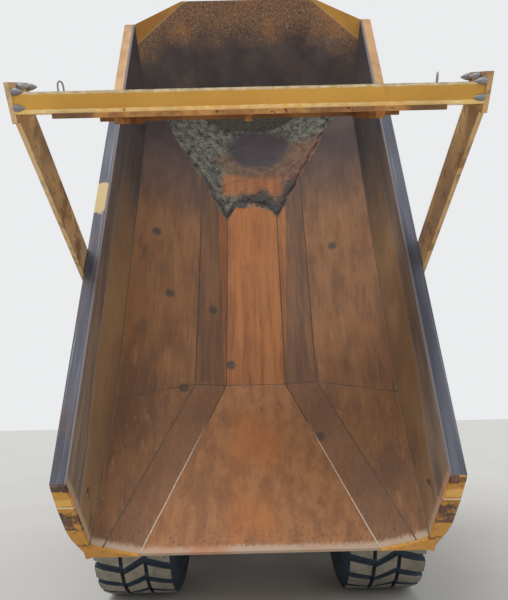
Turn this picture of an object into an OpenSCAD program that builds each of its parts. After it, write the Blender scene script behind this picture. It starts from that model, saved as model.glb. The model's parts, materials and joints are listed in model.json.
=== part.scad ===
// Articulated six-wheel dump truck with its body raised and its tailgate swung open.
// Millimetres. X is to the truck's right, Y is forward, Z is up, and the ground is z = 0.
// Inside the modules y = 0 is the rear axle; the finished model is moved to the middle of its length.

/* [Wheels] */
// Tyre diameter over the lugs
tyre_d = 1617; // [1500:1:1750]
// Tyre width over the sidewalls
tyre_w = 720; // [690:1:740]
// Rim diameter at the bead seat
rim_d = 636; // [610:1:660]
// Distance between the tyre centres of one axle
track_w = 2220; // [2210:1:2280]
// Radius of the fixed spindle that a wheel hub turns on
spindle_r = 100; // [80:1:120]

/* [Wheelbase] */
// Gap between the rear and the middle tyres
tyre_gap = 53; // [40:1:140]
// Front axle ahead of the middle axle
front_base = 4180; // [4120:1:4300]
// Steering pivot behind the front axle
pivot_back = 1558; // [1500:1:1600]
// Depth of the bumper
bumper_len = 220; // [180:1:260]

/* [Hitch] */
// Height of the roll axis
roll_z = 1060; // [1020:1:1090]
// Radius of the steering pin
pin_r = 60; // [45:1:75]
// Radius of the roll journal
journal_r = 170; // [150:1:180]

/* [Frames] */
// Inner face of the rear frame rails
rear_rail_in = 330; // [310:1:345]
// Width of a rear frame rail
rear_rail_w = 140; // [100:1:150]
// Bottom of the rear frame rails
rear_rail_z = 1080; // [1075:1:1150]
// Top of the rear frame rails
rear_rail_top = 1430; // [1400:1:1440]
// Inner face of the front frame rails
front_rail_in = 380; // [370:1:400]
// Width of a front frame rail
front_rail_w = 100; // [80:1:110]
// Bottom of the front frame rails
front_rail_z = 1060; // [1045:1:1100]
// Top of the front frame rails
front_rail_top = 1330; // [1300:1:1360]

/* [Cab] */
// Half of the cab's width
cab_half = 800; // [740:1:808]
// Rear face of the cab behind the front axle
cab_back = 680; // [600:1:700]
// Length of the cab
cab_len = 1580; // [1540:1:1600]
// Gap between the mudguards and the cab
cab_gap = 10; // [6:1:40]
// Height of the cab's roof
cab_top = 3430; // [3350:1:3550]
// Thickness of the cab's walls and door
cab_wall = 60; // [40:1:70]
// Height of the bottom of the windscreen
sill_z = 2300; // [2200:1:2400]

/* [Hood] */
// Gap between the cab and the hood
hood_gap = 30; // [20:1:60]
// Half of the hood's width
hood_half = 760; // [700:1:785]
// Length of the hood
hood_len = 1620; // [1600:1:1640]
// Underside of the hood
hood_z = 1340; // [1338:1:1400]
// Height of the hood at the cab
hood_top = 2480; // [2350:1:2600]
// Height of the hood at the front
hood_nose = 1980; // [1950:1:2100]
// Thickness of the hood's panels
hood_wall = 30; // [15:1:40]

/* [Dump body] */
// Height of the body's hinge
hinge_z = 1600; // [1590:1:1620]
// Body hinge behind the rear axle
hinge_back = 500; // [480:1:520]
// Angle of the raised body
tip_angle = 73.7; // [70:0.1:75]
// Half of the flat strip of the floor
flat_half = 300; // [250:1:320]
// Half width at the top of the floor's chamfers
chamfer_half = 600; // [560:1:640]
// Half width at the foot of the upright sides
side_half = 1290; // [1250:1:1300]
// Half width inside the top rails
rail_in = 1331; // [1320:1:1340]
// Half width over the top rails
rail_out = 1450; // [1430:1:1460]
// Height of the top rails above the hinge
rail_w = 1189; // [1150:1:1230]
// Depth of the top rail box
rail_box = 280; // [220:1:320]
// Floor below the hinge
floor_drop = 60; // [55:1:65]
// Start of the tail chute ahead of the hinge
kink_u = 400; // [380:1:430]
// Edge of the tail chute behind the hinge
lip_u = -1143; // [-1180:1:-1100]
// Height of the tail edge above the hinge
lip_w = 640; // [600:1:680]
// Half width of the flat part of the tail edge
lip_half = 900; // [860:1:940]
// Rear end of the top rails behind the hinge
rail_rear_u = -723; // [-760:1:-700]
// Front end of the floor ahead of the hinge
floor_front_u = 3900; // [3800:1:3950]
// Front end of the top rails ahead of the hinge
rail_front_u = 4444; // [4400:1:4460]
// Half width of the front wall's top edge
wall_half = 800; // [740:1:820]
// Height of the front wall above the hinge
wall_w = 1220; // [1200:1:1260]
// Plate thickness of the body
plate = 20; // [12:1:25]
// Depth of the ribs under the body
rib_d = 60; // [40:1:65]

/* [Tailgate] */
// Tailgate pivot ahead of the body hinge
pivot_u = 956; // [930:1:980]
// Tailgate pivot above the body hinge
pivot_w = 500; // [480:1:520]
// Swing of the tailgate from closed to open
gate_swing = 94.4; // [90:0.1:98]
// Height of the tailgate panel
gate_h = 850; // [780:1:900]
// Half width of the tailgate panel
gate_half = 1250; // [1200:1:1262]
// Height of the tailgate's cross beam
beam_h = 300; // [250:1:320]
// Thickness of the tailgate's cross beam
beam_t = 125; // [100:1:140]
// Thickness of a tailgate arm
arm_w = 35; // [30:1:60]

/* [Cylinders] */
// Half distance between the hoist cylinders
hoist_x = 630; // [625:1:640]
// Outer radius of a hoist barrel
hoist_r = 95; // [85:1:98]
// Radius of a hoist rod
hoist_rod_r = 55; // [45:1:60]
// Outer radius of a steering barrel
steer_r = 58; // [50:1:60]
// Radius of a steering rod
steer_rod_r = 30; // [25:1:34]

/* [Clearances] */
// Radial running gap of pins, rods and hubs
run_gap = 0.3; // [0.3:0.1:0.8]
// Side gap beside moving pieces
side_gap = 5; // [5:1:8]
// Gap under pieces that are welded or bolted to their seat
seat = 0.2; // [0.1:0.1:0.5]
// Gap round the cab door
door_gap = 10; // [6:1:12]

/* [Hidden] */
$fn = 48;

YELLOW = [0.75, 0.55, 0.22];
RUST = [0.49, 0.31, 0.20];
STEEL = [0.38, 0.38, 0.43];
DARK = [0.16, 0.16, 0.17];
RUBBER = [0.20, 0.21, 0.21];
CHROME = [0.75, 0.76, 0.78];
GLASS = [0.55, 0.68, 0.74, 0.5];

LEFT = -1;
RIGHT = 1;

// Places along the truck, from the rear axle.
mid_y = tyre_d + tyre_gap;
front_y = mid_y + front_base;
joint_y = front_y - pivot_back;
cab_y = front_y - cab_back;
cab_front = cab_y + cab_len;
hood_y = [cab_front + hood_gap, cab_front + hood_gap + hood_len];
bumper_y = hood_y[1];
nose_y = bumper_y + bumper_len;
hinge_y = -hinge_back;
axle_z = tyre_d / 2;
tyre_in = (track_w - tyre_w) / 2;

// Turns a point of a side view, and carries it from the body or the tailgate to the truck.
function turn(p, a) = [p.x * cos(a) - p.y * sin(a), p.x * sin(a) + p.y * cos(a)];
function to_truck(p) = [hinge_y, hinge_z] + turn(p, tip_angle);
function gate_open(p) = gate_pivot + turn(p - gate_pivot, -gate_swing);
function end_point(s, n) = [lip_u, lip_w] + turn([s, n], end_angle);

floor_w = -floor_drop;
gate_pivot = [pivot_u, pivot_w];
end_angle = atan2(rail_w - lip_w, rail_rear_u - lip_u);
wall_lean = 0.7266;
gate_gap = 35;
gate_t = 20;
beam_n = gate_gap + gate_t;
gate_foot = beam_h / 2 + 40;
// Plate at each end of the tailgate's beam, [s, n] in the plane of the tail opening
GATE_END = [[-140, 0], [-170, 235], [120, 250], [130, 55]];
gate_back = concat(GATE_END, [[-gate_foot, beam_n]]);
rear_end = min([for (c = gate_back) to_truck(gate_open(end_point(c.x, c.y))).x]);
origin_y = (nose_y + rear_end) / 2;

// Basic forms: a bar between two points, cylinders along an axis, and profiles of a side or end view.
module bar(a, b, r) {
    v = b - a;
    translate(a) rotate([0, acos(v.z / norm(v)), atan2(v.y, v.x)]) cylinder(r = r, h = norm(v));
}
module x_cyl(x0, x1, y, z, r) { translate([x0, y, z]) rotate([0, 90, 0]) cylinder(r = r, h = x1 - x0); }
module y_cyl(y0, y1, x, z, r) { translate([x, y1, z]) rotate([90, 0, 0]) cylinder(r = r, h = y1 - y0); }
module z_cyl(z0, z1, x, y, r) { translate([x, y, z0]) cylinder(r = r, h = z1 - z0); }
module side_view(x0, x1, pts) {
    translate([x0, 0, 0]) rotate([90, 0, 90]) linear_extrude(x1 - x0) polygon(pts);
}
module end_view(y0, y1, pts) {
    translate([0, y1, 0]) rotate([90, 0, 0]) linear_extrude(y1 - y0) polygon(pts);
}
module plan_view(z0, z1, pts) { translate([0, 0, z0]) linear_extrude(z1 - z0) polygon(pts); }
module box(x, y, z) { translate([x[0], y[0], z[0]]) cube([x[1] - x[0], y[1] - y[0], z[1] - z[0]]); }
module both() {
    children();
    mirror([1, 0, 0]) children();
}
module truck() { translate([0, -origin_y, 0]) children(); }

// The body's own frame: x, then u along the floor, then w upward, from the hinge.
module on_body() { truck() translate([0, hinge_y, hinge_z]) rotate([tip_angle, 0, 0]) children(); }
module on_gate() {
    on_body() translate([0, pivot_u, pivot_w]) rotate([-gate_swing, 0, 0])
        translate([0, -pivot_u, -pivot_w]) children();
}
// The plane of the tail opening: x, then s up the opening, then n outward.
module on_end() { translate([0, lip_u, lip_w]) rotate([end_angle, 0, 0]) children(); }

// WHEELS

module on_wheel(side, y) {
    truck() translate([side * track_w / 2, y, axle_z]) rotate([0, side * 90, 0]) children();
}
rim_half = 0.82 * tyre_w / 2;
flange_t = 15;
flange_h = 32;
barrel_t = 18;
hub_r = 190;
hub_in = 160;
hub_out = 120;
disc_t = 30;
spindle_x = track_w / 2 + hub_out - 40;

// A tyre is a closed skin of loops round the axle. A loop that carries lugs has three points a pitch,
// the groove and both ends of a lug's top, and any other loop has one. Its flats clear the round rim.
pitches = 24;
groove_d = 36;
groove_share = 0.14;
function round_rim(r) = (r + seat) / cos(180 / pitches);
function tyre_r(share) = (rim_d + share * (tyre_d - rim_d)) / 2;
TYRE_LOOPS = [
    // [share of half the width, radius, turn in pitches, points a pitch]
    [0.78, round_rim(rim_d / 2), 0, 1], [0.82, round_rim(rim_d / 2 + flange_h), 0, 1],
    [1.00, tyre_r(0.50), 0, 1],
    [0.86, tyre_r(1), 0, 3], [0.30, tyre_r(1), -0.28, 3],
    [-0.30, tyre_r(1), 0.15, 3], [-0.86, tyre_r(1), -groove_share, 3],
    [-1.00, tyre_r(0.50), 0, 1],
    [-0.82, round_rim(rim_d / 2 + flange_h), 0, 1], [-0.78, round_rim(rim_d / 2), 0, 1],
    [0, tyre_r(0.84), 0, 1]
];
loops = len(TYRE_LOOPS);
loop_start = [for (k = 0, n = 0; k < loops; n = n + TYRE_LOOPS[k][3] * pitches, k = k + 1) n];
function loop_point(k, i, j) = let (
    loop = TYRE_LOOPS[k],
    a = (i + loop[2] + [0, groove_share, 1 - groove_share][j]) * 360 / pitches,
    r = loop[1] - (loop[3] == 3 && j == 0 ? groove_d : 0)
) [r * cos(a), r * sin(a), loop[0] * tyre_w / 2];
function loop_at(k, i, j) = let (n = TYRE_LOOPS[k % loops][3])
    loop_start[k % loops] + (i * n + j) % (n * pitches);
// Triangles between loop k and the next, in pitch i
function skin(k, i) = let (
    n = TYRE_LOOPS[k][3],
    m = TYRE_LOOPS[(k + 1) % loops][3],
    a = [for (j = [0 : 3]) loop_at(k, i, j)],
    b = [for (j = [0 : 3]) loop_at(k + 1, i, j)]
) n == m ? [for (j = [0 : n - 1]) each [[a[j], a[j + 1], b[j + 1]], [a[j], b[j + 1], b[j]]]]
    : n > m ? [[a[0], a[1], b[0]], [a[1], a[2], b[0]], [a[2], b[1], b[0]], [a[2], a[3], b[1]]]
    : [[a[0], b[1], b[0]], [a[0], b[2], b[1]], [a[0], a[1], b[2]], [a[1], b[3], b[2]]];
module tyre(side, y) {
    color(RUBBER) on_wheel(side, y) polyhedron(
        points = [for (k = [0 : loops - 1], i = [0 : pitches - 1], j = [0 : TYRE_LOOPS[k][3] - 1])
            loop_point(k, i, j)],
        faces = [for (k = [0 : loops - 1], i = [0 : pitches - 1]) each skin(k, i)]
    );
}
module rim(side, y) {
    color(YELLOW) on_wheel(side, y) difference() {
        rotate_extrude($fn = 96) {
            polygon([
                [rim_d / 2 - barrel_t, -rim_half - flange_t], [rim_d / 2 + flange_h, -rim_half - flange_t],
                [rim_d / 2 + flange_h, -rim_half], [rim_d / 2, -rim_half],
                [rim_d / 2, rim_half], [rim_d / 2 + flange_h, rim_half],
                [rim_d / 2 + flange_h, rim_half + flange_t], [rim_d / 2 - barrel_t, rim_half + flange_t]
            ]);
            translate([0, -disc_t]) square([rim_d / 2 - barrel_t + 1, disc_t]);
            translate([0, -hub_in]) square([hub_r, hub_in + hub_out]);
        }
        translate([0, 0, -hub_in - 1])
            cylinder(r = spindle_r + run_gap, h = spindle_x + side_gap - track_w / 2 + hub_in + 1);
    }
}

// AXLES AND SUSPENSION

housing_r = 130;
diff_r = 250;
drum_r = 225;
drum_in = 850;
torque_seat = 50;
torque_x = 300;
module axle(y) {
    truck() {
        x_cyl(-drum_in, drum_in, y, axle_z, housing_r);
        translate([0, y, axle_z]) rotate([0, 90, 0]) rotate_extrude()
            polygon([[0, -260], [150, -250], [diff_r, -120], [diff_r, 120], [150, 250], [0, 260]]);
        y_cyl(y - 330, y + 330, 0, axle_z, 110);
        both() {
            x_cyl(drum_in - 5, track_w / 2 - hub_in - side_gap, y, axle_z, drum_r);
            x_cyl(drum_in - 5, spindle_x, y, axle_z, spindle_r);
            box([torque_x - 38, torque_x + 38], [y - torque_seat, y + torque_seat],
                [axle_z + 100, axle_z + 195]);
        }
    }
}
module rear_axle() { color(DARK) axle(0); }
module mid_axle() { color(DARK) axle(mid_y); }

strut_x = 560;
strut_r = 62;
link_z = 700;
module front_axle() {
    color(DARK) axle(front_y);
    color(DARK) truck() both() {
        z_cyl(axle_z + 60, front_rail_top - 80, strut_x, front_y, strut_r);
        z_cyl(axle_z + 60, axle_z + 190, strut_x, front_y, strut_r + 25);
        bar([360, front_y - 30, link_z + 20], [20, front_y - 850, link_z], 38);
        box([320, 400], [front_y - 110, front_y + 40], [link_z - 30, axle_z - 60]);
    }
    color(DARK) truck() y_cyl(front_y - 940, front_y - 800, 0, link_z, 60);
}

beam_x = [tyre_in - 160, tyre_in - 40];
beam_z = [axle_z - 288, axle_z - housing_r];
bogie_y = mid_y / 2;
bogie_pin_z = axle_z - 148;
trunnion_r = 80;
torque_z = axle_z + 155;
module bogie_beams() {
    color(DARK) truck() {
        both() {
            side_view(beam_x[0], beam_x[1], [
                [-150, beam_z[0] + 60], [-60, beam_z[0]],
                [mid_y + 60, beam_z[0]], [mid_y + 150, beam_z[0] + 60],
                [mid_y + 150, beam_z[1]], [mid_y - 160, beam_z[1]], [bogie_y + 170, bogie_pin_z + 80],
                [bogie_y - 170, bogie_pin_z + 80], [160, beam_z[1]], [-150, beam_z[1]]
            ]);
            for (y = [[torque_seat, bogie_y - 70], [bogie_y + 70, mid_y - torque_seat]])
                y_cyl(y[0], y[1], torque_x, torque_z, 32);
        }
        x_cyl(-beam_x[0], beam_x[0], bogie_y, bogie_pin_z, trunnion_r);
    }
}

shaft_r = 55;
nose_end_y = joint_y - 812;
module prop_shafts() {
    color(DARK) truck() {
        y_cyl(mid_y + 330, mid_y + 355, 0, axle_z, 85);
        bar([0, mid_y + 345, axle_z], [0, nose_end_y - 15, roll_z - 80], shaft_r);
        y_cyl(nose_end_y - 25, nose_end_y, 0, roll_z - 80, 85);
        y_cyl(330, mid_y - 330, 0, axle_z, shaft_r);
    }
}

// REAR FRAME

rear_rail_out = rear_rail_in + rear_rail_w;
tail_y = -700;
ring_r = 260;
ring_y = [joint_y - 532, joint_y - 272];
cap_y = [joint_y - 580, ring_y[0] - side_gap];
cap_r = 210;
hoist_pin = [2600, 1000];
hoist_pin_r = 40;
hoist_eye_half = 50;
hinge_pin_r = 45;
lug_r = 82;
lug_t = 40;
body_lug = [rear_rail_in + 55, rear_rail_in + 105];
module rear_frame() {
    color(YELLOW) truck() {
        both() {
            box([rear_rail_in, rear_rail_out], [tail_y, nose_end_y], [rear_rail_z, rear_rail_top]);
            // Hinge lugs on each side of the body's lug
            for (x = [body_lug[0] - side_gap - lug_t, body_lug[1] + side_gap]) {
                x_cyl(x, x + lug_t, hinge_y, hinge_z, lug_r);
                side_view(x, x + lug_t, [
                    [hinge_y - 170, rear_rail_top - 1], [hinge_y + 170, rear_rail_top - 1],
                    [hinge_y + lug_r, hinge_z], [hinge_y - lug_r, hinge_z]
                ]);
            }
            x_cyl(body_lug[0] - side_gap - lug_t - 12, body_lug[1] + side_gap + lug_t + 12,
                  hinge_y, hinge_z, hinge_pin_r);
            // Hoist bracket: a box beside the rail, two ears and the pin
            box([rear_rail_out - 1, hoist_x + hoist_eye_half + side_gap + 30],
                [hoist_pin.x + 95, hoist_pin.x + 195], [hoist_pin.y - 90, rear_rail_z + 100]);
            for (x = [hoist_x - hoist_eye_half - side_gap - 30, hoist_x + hoist_eye_half + side_gap]) {
                x_cyl(x, x + 30, hoist_pin.x, hoist_pin.y, 65);
                side_view(x, x + 30, [
                    [hoist_pin.x, hoist_pin.y - 65], [hoist_pin.x + 100, hoist_pin.y - 90],
                    [hoist_pin.x + 100, hoist_pin.y + 110], [hoist_pin.x, hoist_pin.y + 65]
                ]);
            }
            x_cyl(hoist_x - hoist_eye_half - 40, hoist_x + hoist_eye_half + 40,
                  hoist_pin.x, hoist_pin.y, hoist_pin_r);
            // Bracket from the rail down to the walking beam's tube
            difference() {
                side_view(rear_rail_in + 30, rear_rail_out, [
                    [bogie_y - 260, rear_rail_z + 1], [bogie_y - 110, bogie_pin_z - 60],
                    [bogie_y - 60, bogie_pin_z - 110], [bogie_y + 60, bogie_pin_z - 110],
                    [bogie_y + 110, bogie_pin_z - 60], [bogie_y + 260, rear_rail_z + 1]
                ]);
                x_cyl(rear_rail_in, rear_rail_out + 1, bogie_y, bogie_pin_z, trunnion_r);
            }
        }
        // Cross members
        for (y = [[tail_y, tail_y + 90], [bogie_y - 70, bogie_y + 70], [hoist_pin.x + 60, hoist_pin.x + 180]])
            box([-rear_rail_in - 1, rear_rail_in + 1], y, [rear_rail_z, rear_rail_top - 60]);
        box([-torque_x - 35, torque_x + 35], [bogie_y - 70, bogie_y + 70], [torque_z - 50, rear_rail_z + 1]);
        // Nose box and roll bearing
        box([-rear_rail_out, rear_rail_out], [nose_end_y, nose_end_y + 120], [roll_z - 220, rear_rail_top]);
        difference() {
            y_cyl(nose_end_y + 110, ring_y[1], 0, roll_z, ring_r);
            y_cyl(cap_y[0] - side_gap, ring_y[0], 0, roll_z, cap_r + side_gap);
            y_cyl(ring_y[0] - 1, ring_y[1] + 1, 0, roll_z, journal_r + run_gap);
        }
    }
}
// Shackle eye on its base plate
tow_r = 30;
tow_half = 30;
tow_round = 70;
tow_base_t = 20;
tow_eye = [tail_y - tow_base_t - 60, rear_rail_z + 140];
module tow_hitch() {
    color(YELLOW) truck() difference() {
        union() {
            box([-110, 110], [tail_y - seat - tow_base_t, tail_y - seat],
                [rear_rail_z + 10, rear_rail_top - 80]);
            box([-tow_half, tow_half], [tow_eye.x, tail_y - tow_base_t],
                [tow_eye.y - tow_round, tow_eye.y + tow_round]);
            x_cyl(-tow_half, tow_half, tow_eye.x, tow_eye.y, tow_round);
        }
        x_cyl(-tow_half - 1, tow_half + 1, tow_eye.x, tow_eye.y, tow_r);
    }
}
lamp_z = [rear_rail_top - 155, rear_rail_top - 35];
module rear_lamps() {
    color(DARK) truck() both() {
        box([rear_rail_in + 20, 640], [tail_y - 12, tail_y], [lamp_z[0] - 20, lamp_z[1] + 20]);
        color("firebrick") box([500, 630], [tail_y - 62, tail_y - 12], lamp_z);
    }
}

// HITCH

fork_z = [[roll_z - 240, roll_z - 180], [roll_z + 180, roll_z + 240]];
steer_z = roll_z - 100;
steer_eye_half = 35;
steer_eye_r = 48;
steer_pin_r = 25;
steer_front = [450, joint_y + 1250];
steer_lug = [350, joint_y - 100];
steer_ear_t = 25;
steer_ears = [steer_z - steer_eye_half - side_gap - steer_ear_t, steer_z + steer_eye_half + side_gap];
module hitch() {
    color(STEEL) truck() {
        difference() {
            z_cyl(fork_z[0][1] + side_gap, fork_z[1][0] - side_gap, 0, joint_y, 140);
            z_cyl(fork_z[0][0], fork_z[1][1], 0, joint_y, pin_r + run_gap);
        }
        y_cyl(cap_y[0], joint_y - 110, 0, roll_z, journal_r);
        y_cyl(cap_y[0], cap_y[1], 0, roll_z, cap_r);
        y_cyl(ring_y[1] + side_gap, ring_y[1] + 50, 0, roll_z, cap_r);
        both() for (z = steer_ears)
            plan_view(z, z + steer_ear_t, [
                [60, steer_lug.y - 60], [steer_lug.x + 10, steer_lug.y - 60],
                [steer_lug.x + 60, steer_lug.y - 20], [steer_lug.x + 60, steer_lug.y + 40],
                [steer_lug.x, steer_lug.y + 60], [120, joint_y + 30]
            ]);
    }
}

// FRONT FRAME

front_rail_out = front_rail_in + front_rail_w;
front_rail_y = joint_y + 488;
hood_pin = [bumper_y + 40, front_rail_top - 30];
hood_pin_r = 15;
hood_lug_x = [400, 430];
module front_frame() {
    color(YELLOW) truck() {
        both() {
            box([front_rail_in, front_rail_out], [front_rail_y, bumper_y], [front_rail_z, front_rail_top]);
            // Cab mounts, strut brackets and the ears that hold the steering barrels
            for (y = [cab_y + 130, cab_y + cab_len - 130])
                z_cyl(front_rail_top - 1, cab_z, front_rail_in + front_rail_w / 2, y, 45);
            box([front_rail_out - 1, strut_x + 80], [front_y - 90, front_y + 90],
                [front_rail_top - 80, front_rail_top - 20]);
            box([steer_front.x - 60, steer_front.x + 60], [steer_front.y + 65, steer_front.y + 110],
                [steer_ears[0], front_rail_z + 1]);
            for (z = steer_ears)
                box([steer_front.x - 50, steer_front.x + 50], [steer_front.y - 50, steer_front.y + 70],
                    [z, z + steer_ear_t]);
            z_cyl(steer_z - steer_eye_half - 34, steer_z + steer_eye_half + 34,
                  steer_front.x, steer_front.y, steer_pin_r);
            // Hood hinge
            side_view(hood_lug_x[0], hood_lug_x[1], [
                [bumper_y - 21, front_rail_top - 70], [hood_pin.x, hood_pin.y - 30],
                [hood_pin.x + 30, hood_pin.y], [hood_pin.x, hood_pin.y + 30], [bumper_y - 21, front_rail_top]
            ]);
            x_cyl(hood_lug_x[0], hood_lug_x[1] + 55, hood_pin.x, hood_pin.y, hood_pin_r);
        }
        // Cross members
        box([-front_rail_in - 1, front_rail_in + 1], [front_rail_y, front_rail_y + 180],
            [front_rail_z, front_rail_top]);
        box([-220, 220], [front_rail_y, front_rail_y + 180], [fork_z[0][0], front_rail_z + 1]);
        for (y = [[front_y + 560, front_y + 640], [bumper_y - 100, bumper_y - 20]])
            box([-front_rail_in - 1, front_rail_in + 1], y, [front_rail_z + 60, front_rail_top]);
        // Ball socket of the axle's A-frame
        box([-80, 80], [front_y - 1000, front_y - 940], [link_z - 70, fork_z[0][0] + 1]);
        // Fork and steering pin
        for (z = fork_z) {
            z_cyl(z[0], z[1], 0, joint_y, 150);
            plan_view(z[0], z[1], [
                [-150, joint_y], [150, joint_y], [220, front_rail_y + 1], [-220, front_rail_y + 1]
            ]);
        }
        z_cyl(fork_z[0][0] - 20, fork_z[1][1] + 20, 0, joint_y, pin_r);
        z_cyl(fork_z[0][0] - 20, fork_z[0][0], 0, joint_y, pin_r + 35);
        z_cyl(fork_z[1][1], fork_z[1][1] + 20, 0, joint_y, pin_r + 35);
    }
}
front_tow = nose_y - 55;
head_lamp_x = [600, 810];
head_lamp_z = 1130;
head_lamp_r = 86;
lamp_depth = 45;
bumper_half = 1250;
bumper_z = [850, front_rail_top - 80];
module bumper() {
    color(DARK) truck() difference() {
        plan_view(bumper_z[0], bumper_z[1], [
            [-bumper_half, bumper_y], [bumper_half, bumper_y], [bumper_half, bumper_y + 90],
            [bumper_half - 320, nose_y], [-bumper_half + 320, nose_y], [-bumper_half, bumper_y + 90]
        ]);
        box([-110, 110], [nose_y - 110, nose_y + 1], [bumper_z[0] + 150, bumper_z[0] + 230]);
        z_cyl(bumper_z[0] - 1, bumper_z[1] + 1, 0, front_tow, 25);
        for (x = head_lamp_x, s = [LEFT, RIGHT])
            y_cyl(nose_y - lamp_depth, nose_y + 1, s * x, head_lamp_z, head_lamp_r + 6);
    }
}
module head_lamps() {
    color("lightyellow") truck() for (x = head_lamp_x, s = [LEFT, RIGHT])
        y_cyl(nose_y - lamp_depth, nose_y - 8, s * x, head_lamp_z, head_lamp_r);
}

engine_y = [cab_front + 20, bumper_y - 380];
engine_half = front_rail_in - 50;
module engine_block() {
    color(STEEL) truck() {
        box([-engine_half, engine_half], engine_y, [front_rail_z - 60, hood_nose - 130]);
        both() for (y = [engine_y[0] + 80, engine_y[1] - 180])
            box([engine_half - 1, front_rail_in], [y, y + 100], [front_rail_top - 180, front_rail_top - 80]);
    }
}

// FRONT BODY FITTINGS

guard_t = 30;
guard_gap = 83;
guard_top = tyre_d + guard_gap + guard_t;
cab_z = guard_top + cab_gap;
skirt_x = [tyre_in - 50, tyre_in - 30];
guard_in = [cab_half + 15, cab_half + 35];
deck_y = [cab_front - 50, cab_front + 650];
deck_out = 1450;
tank_y = [front_y + tyre_d / 2 + 120, front_y + tyre_d / 2 + 720];
tank_x = [560, 1200];
tank_z = [650, 1250];
post_r = 30;
module front_mudguards() {
    color(DARK) truck() both() {
        side_view(skirt_x[0], track_w / 2 + tyre_w / 2, [
            [front_y - 930, guard_top - 230], [front_y - 760, guard_top - guard_t],
            [deck_y[0], guard_top - guard_t], [deck_y[0], guard_top], [front_y - 780, guard_top],
            [front_y - 960, guard_top - 220]
        ]);
        box(skirt_x, [front_y - 700, deck_y[0]], [front_rail_top - 60, guard_top - guard_t + 1]);
        box([guard_in[0], deck_out], [deck_y[0] - 1, deck_y[1]], [guard_top - guard_t, guard_top]);
        for (y = [front_y - 600, front_y + 440])
            box([front_rail_out, skirt_x[0] + 1], [y, y + 60], [front_rail_top - 60, front_rail_top - 10]);
        z_cyl(tank_z[1], guard_top - guard_t + 1, (tank_x[0] + tank_x[1]) / 2, tank_y[0] + 220, post_r);
    }
}
bracket_z = [front_rail_z + 30, front_rail_z + 130];
module fuel_tank() {
    color(DARK) truck() {
        end_view(tank_y[0], tank_y[1] + 200, [
            [tank_x[0], tank_z[0] + 50], [tank_x[0] + 50, tank_z[0]], [tank_x[1], tank_z[0]],
            [tank_x[1] + 50, tank_z[0] + 50], [tank_x[1] + 50, tank_z[1] - 50], [tank_x[1], tank_z[1]],
            [tank_x[0], tank_z[1]]
        ]);
        for (y = [tank_y[0] + 60, tank_y[1]]) box([front_rail_out, tank_x[0] + 1], [y, y + 60], bracket_z);
    }
}
module hydraulic_tank() {
    color(YELLOW) truck() {
        box([-tank_x[1], -tank_x[0]], tank_y, [tank_z[0] + 50, tank_z[1]]);
        for (y = [tank_y[0] + 60, tank_y[1] - 120])
            box([-tank_x[0] - 1, -front_rail_out], [y, y + 60], bracket_z);
    }
}
step_y = [tank_y[0] + 20, tank_y[1] - 20];
step_x = [-deck_out - 20, -tank_x[1]];
step_z = 430;
step_t = 20;
step_rise = 320;
module access_steps() {
    color(DARK) truck() {
        for (y = [step_y[0], step_y[1] - step_t])
            end_view(y, y + step_t, [
                [step_x[0] + 30, guard_top - guard_t], [step_x[1], guard_top - guard_t],
                [step_x[1], step_z + 330],
                [step_x[1] - 100, step_z], [step_x[0], step_z], [step_x[0], step_z + 270]
            ]);
        for (z = [step_z + 10 : step_rise : guard_top - 250])
            box([step_x[0] + 5, step_x[1] - 60], [step_y[0] + step_t - 1, step_y[1] - step_t + 1],
                [z, z + 30]);
    }
}
rail_r = 18;
rail_h = 900;
rail_x = [guard_in[1] + 15, deck_out - 30];
rail_y = [deck_y[0] + 110, deck_y[1] - 40];
module handrails() {
    color(YELLOW) truck() for (s = [LEFT, RIGHT]) {
        for (y = rail_y) z_cyl(guard_top, guard_top + rail_h, s * rail_x[1], y, rail_r);
        z_cyl(guard_top, guard_top + rail_h, s * rail_x[0], rail_y[1], rail_r);
        for (z = [rail_h / 2, rail_h - 30]) {
            y_cyl(rail_y[0], rail_y[1], s * rail_x[1], guard_top + z, rail_r - 3);
            x_cyl(min(s * rail_x[0], s * rail_x[1]), max(s * rail_x[0], s * rail_x[1]), rail_y[1],
                  guard_top + z, rail_r - 5);
        }
    }
}
mirror_at = [cab_half + 330, cab_front + 60];
mirror_z = [cab_top - 1130, cab_top - 330];
module mirrors() {
    color(DARK) truck() both() {
        for (p = [[mirror_z[0] + 50, cab_front - 55], [mirror_z[1] - 50, cab_front - 150]]) {
            box([cab_half, cab_half + 12], [p[1] - 25, p[1] + 25], [p[0] - 30, p[0] + 30]);
            bar([cab_half + 8, p[1], p[0]], [mirror_at.x, mirror_at.y, p[0]], 14);
        }
        z_cyl(mirror_z[0], mirror_z[1], mirror_at.x, mirror_at.y, 18);
        box([mirror_at.x - 90, mirror_at.x + 130], [mirror_at.y + 18, mirror_at.y + 80],
            [mirror_z[0] + 130, mirror_z[1] - 130]);
    }
}
stack_at = [guard_in[1] + 125, deck_y[0] + 350];
stack_top = cab_top - 380;
module exhaust_stack() {
    color(STEEL) truck() {
        z_cyl(guard_top, guard_top + 620, stack_at.x, stack_at.y, 120);
        z_cyl(guard_top + 619, stack_top, stack_at.x, stack_at.y, 55);
        translate([stack_at.x, stack_at.y, stack_top - 70]) rotate([15, 0, 0]) cylinder(r = 68, h = 220);
    }
}

// CAB

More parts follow.
